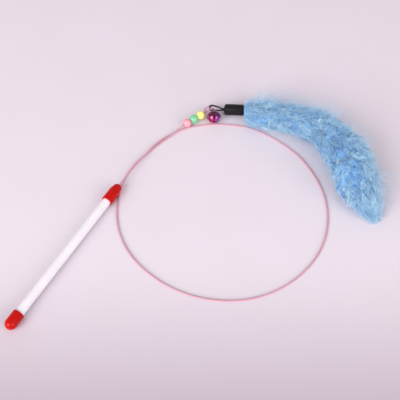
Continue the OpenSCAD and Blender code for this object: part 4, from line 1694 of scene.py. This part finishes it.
    def skin_quills(self, lines: Array) -> Piece:
        """Makes the thin pale three-sided shafts of the plumes as one piece.

        Args:
            lines: Rows of points, one row for each shaft.

        Returns:
            The piece.
        """
        count, k = lines.shape[:2]
        ways = unit(np.gradient(lines, axis=1))
        side = unit(np.cross(ways, np.array([0.3, 0.5, 0.8])))
        third = np.cross(ways, side)
        radius = (self.quill_r[0] - self.quill_r[1] * np.linspace(0, 1, k))[None, :, None] * MM
        turns = (0, 2.0944, 4.1888)
        rings = np.stack([lines + radius * (side * math.cos(a) + third * math.sin(a)) for a in turns], 2)
        quads = [[3 * i + c, 3 * i + (c + 1) % 3, 3 * i + 3 + (c + 1) % 3, 3 * i + 3 + c]
                 for i in range(k - 1) for c in range(3)]
        tris = [[0, 2, 1], [3 * k - 3, 3 * k - 2, 3 * k - 1]]
        base = (np.arange(count) * 3 * k)[:, None, None]
        faces, ends = ((np.array(each)[None] + base).reshape(-1, len(each[0])) for each in (quads, tris))
        zeros = np.zeros(rings.size // 3)
        return self.mesh_from("plume_quills", rings.reshape(-1, 3), faces, ends, zeros, zeros, QUILL_PALE)

    def mesh_from(
        self, name: str, vertices: Array, quads: Array, tris: Array, shade: Array, pale: Array, finish: Finish,
    ) -> Piece:
        """Makes a piece of the lure from arrays.

        Args:
            name: Name of the new piece.
            vertices: Its points, in metres.
            quads: Its four-sided faces.
            tris: Its three-sided faces.
            shade: The dye at each point.
            pale: How much each point has paled.
            finish: The finish that it gets.

        Returns:
            The piece.
        """
        data = bpy.data.meshes.new(name)
        data.vertices.add(len(vertices))
        data.vertices.foreach_set("co", vertices.astype(np.float32).ravel())
        corners = np.concatenate([quads.ravel(), tris.ravel()]).astype(np.int32)
        data.loops.add(len(corners))
        data.loops.foreach_set("vertex_index", corners)
        starts = np.concatenate([np.arange(len(quads)) * 4, len(quads) * 4 + np.arange(len(tris)) * 3])
        data.polygons.add(len(starts))
        data.polygons.foreach_set("loop_start", starts.astype(np.int32))
        data.update(calc_edges=True)
        data.validate()
        for attribute, values in ((DYE_AND_PAINTED_LIGHT, shade), (TIP, pale)):
            data.attributes.new(attribute, "FLOAT", "POINT").data.foreach_set("value", values.astype(np.float32))
        piece = link_data(name, data)
        finish.put_on(piece, "feather_down")
        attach(piece, "lure")
        return piece

    def grow(self) -> list[Piece]:
        """Grows every crop of barbs, in pieces of a size that is easy to handle.

        Returns:
            The pieces.
        """
        rng = np.random.default_rng(self.seed)
        crops = {Crop.UNDER_DOWN: self.plant_under_down(rng)}
        lines, tint, shafts, _ = self.grow_plumes(rng)
        pieces = [self.skin_quills(shafts)]
        crops[Crop.DOWN_PLUMES] = lines, tint
        crops[Crop.DOWN_STRANDS] = self.comb_strands(rng)
        crops[Crop.DOWN_WISPS] = self.float_wisps(rng)
        for crop, (lines, tint) in crops.items():
            parts = np.array_split(np.arange(len(lines)), math.ceil(len(lines) / self.largest))
            for number, part in enumerate(parts, 1):
                name = f"{crop.name.lower()}_{number}"
                pieces.append(self.skin_barbs(name, lines[part], tint[part], crop, rng))
        return pieces

    def build(self) -> list[Piece]:
        """Makes the whole lure.

        Returns:
            Its pieces, apart from the ferrule.
        """
        self.lay_out()
        return [self.make_string(), self.make_root(), self.make_body(), *self.grow()]


# --- The studio -------------------------------------------------------------------------------------------


@dataclass
class Studio:
    """Pale floor, two large soft boxes and the photograph's camera."""

    focal: float = 63.0
    distance: float = 0.665
    elevation: float = math.radians(54.5)
    azimuth: float = math.radians(299.3)
    target: Point = (0.19119, -0.07374, -0.00535)
    floor_colour: str = "#E9E1EA"
    fibre_colour: str = "#E5DDE4"
    fibre_patch: float = 60 * MM
    room_colour: str = "#F4ECF2"
    # Painted shade: the floor darkens to this colour towards the camera, between the two edges.
    near_painted_shade: str = "#B6A7B3"
    shade_near_edge: float = -0.27
    shade_far_edge: float = -0.05
    ambient: float = 0.6
    boxes: tuple[tuple[str, Point, float], ...] = (
        ("left_box", (-0.8377, 0.2340, 0.470), 1.35), ("right_box", (-0.1950, -0.8663, 0.437), 0.68))
    box_distance: float = 2.7
    box_side: float = 1.8
    box_watts: float = 46.0
    floor_side: float = 6.0

    def place_camera(self) -> None:
        """Makes the camera that the photograph was taken with, near enough."""
        data = bpy.data.cameras.new("photo_camera")
        data.sensor_width, data.lens = 36.0, self.focal
        data.clip_start, data.clip_end = 0.01, 20
        camera = link_data("photo_camera", data)
        back = Vector((math.sin(self.azimuth) * math.cos(self.elevation),
                       -math.cos(self.azimuth) * math.cos(self.elevation), math.sin(self.elevation)))
        camera.location = Vector(self.target) + back * self.distance
        camera.rotation_euler = (-back).to_track_quat("-Z", "Y").to_euler()
        bpy.context.scene.camera = camera

    def lay_floor(self) -> None:
        """Lays the pale floor just under the wand, with painted shade that darkens it towards the camera."""
        clear_selection()
        middle = (self.target[0], self.target[1], LAYOUT.ground * MM)
        bpy.ops.mesh.primitive_plane_add(size=self.floor_side, location=middle)
        floor = bpy.context.object
        floor.name = "studio_floor"
        paper = bpy.data.materials.new("matt_lilac_paper")
        paper.use_nodes = True
        tree = paper.node_tree
        tree.nodes.clear()
        place = add_node(tree, "ShaderNodeTexCoord").outputs["Object"]
        fibres = add_node(tree, "ShaderNodeTexNoise", inputs={
            "Vector": place, "Scale": 1 / self.fibre_patch, "Detail": 2.0})
        tint = add_node(tree, "ShaderNodeMix", {"data_type": "RGBA"}, {
            0: fibres.outputs["Fac"], 6: linear(self.floor_colour), 7: linear(self.fibre_colour)})
        # Painted shade: the floor fades to the darker near colour on the side towards the camera.
        away = self.azimuth - math.pi * 1.5
        reach = add_node(tree, "ShaderNodeVectorMath", {"operation": "DOT_PRODUCT"}, {
            0: place, 1: (math.cos(away), math.sin(away), 0)})
        fade = add_node(tree, "ShaderNodeMapRange", {"interpolation_type": "SMOOTHSTEP"}, {
            "Value": reach.outputs["Value"], "From Min": self.shade_near_edge, "From Max": self.shade_far_edge})
        tint = add_node(tree, "ShaderNodeMix", {"data_type": "RGBA"}, {
            0: fade.outputs["Result"], 6: linear(self.near_painted_shade), 7: tint.outputs[2]})
        matt = add_node(tree, "ShaderNodeBsdfPrincipled", inputs={
            "Base Color": tint.outputs[2], "Roughness": 0.85, "Specular IOR Level": 0.2})
        add_node(tree, "ShaderNodeOutputMaterial", inputs={"Surface": matt.outputs["BSDF"]})
        floor.data.materials.append(paper)

    def hang_lights(self) -> None:
        """Hangs both soft boxes and sets the room's even light."""
        centre = Vector(self.target)
        for name, way, share in self.boxes:
            lamp = bpy.data.lights.new(name, "AREA")
            lamp.shape, lamp.size, lamp.energy = "SQUARE", self.box_side, self.box_watts * share
            box = link_data(name, lamp)
            direction = Vector(way).normalized()
            box.location = centre + direction * self.box_distance
            box.rotation_euler = direction.to_track_quat("Z", "Y").to_euler()
        world = bpy.data.worlds.new("studio_room")
        bpy.context.scene.world = world
        world.use_nodes = True
        tree = world.node_tree
        tree.nodes.clear()
        room, backdrop = (
            add_node(tree, "ShaderNodeBackground", inputs={"Color": linear(colour), "Strength": strength})
            for colour, strength in ((self.room_colour, self.ambient), (self.floor_colour, 1.0)))
        path = add_node(tree, "ShaderNodeLightPath")
        seen = add_node(tree, "ShaderNodeMixShader", inputs={
            0: path.outputs["Is Camera Ray"], 1: room.outputs[0], 2: backdrop.outputs[0]})
        add_node(tree, "ShaderNodeOutputWorld", inputs={"Surface": seen.outputs[0]})

    def build(self) -> None:
        """Sets up the studio."""
        bpy.context.scene.view_settings.view_transform = "Standard"
        self.place_camera()
        self.lay_floor()
        self.hang_lights()


def main() -> None:
    """Builds the studio and every sub-assembly in order, and reports each piece."""
    logging.basicConfig(level=logging.INFO, format="%(message)s")
    Studio().build()
    wire = SpringWire()
    strand = wire.build()
    beads = BeadRow().build()
    pieces = [strand, *beads, CordLink().build(), *Handle().build(), Ferrule().build(), *JingleBell().build()]
    pieces += FeatherLure().build()
    for piece in pieces:
        LOG.info("%s: %d faces", piece.name, len(piece.data.polygons))


if __name__ == "__main__":
    main()
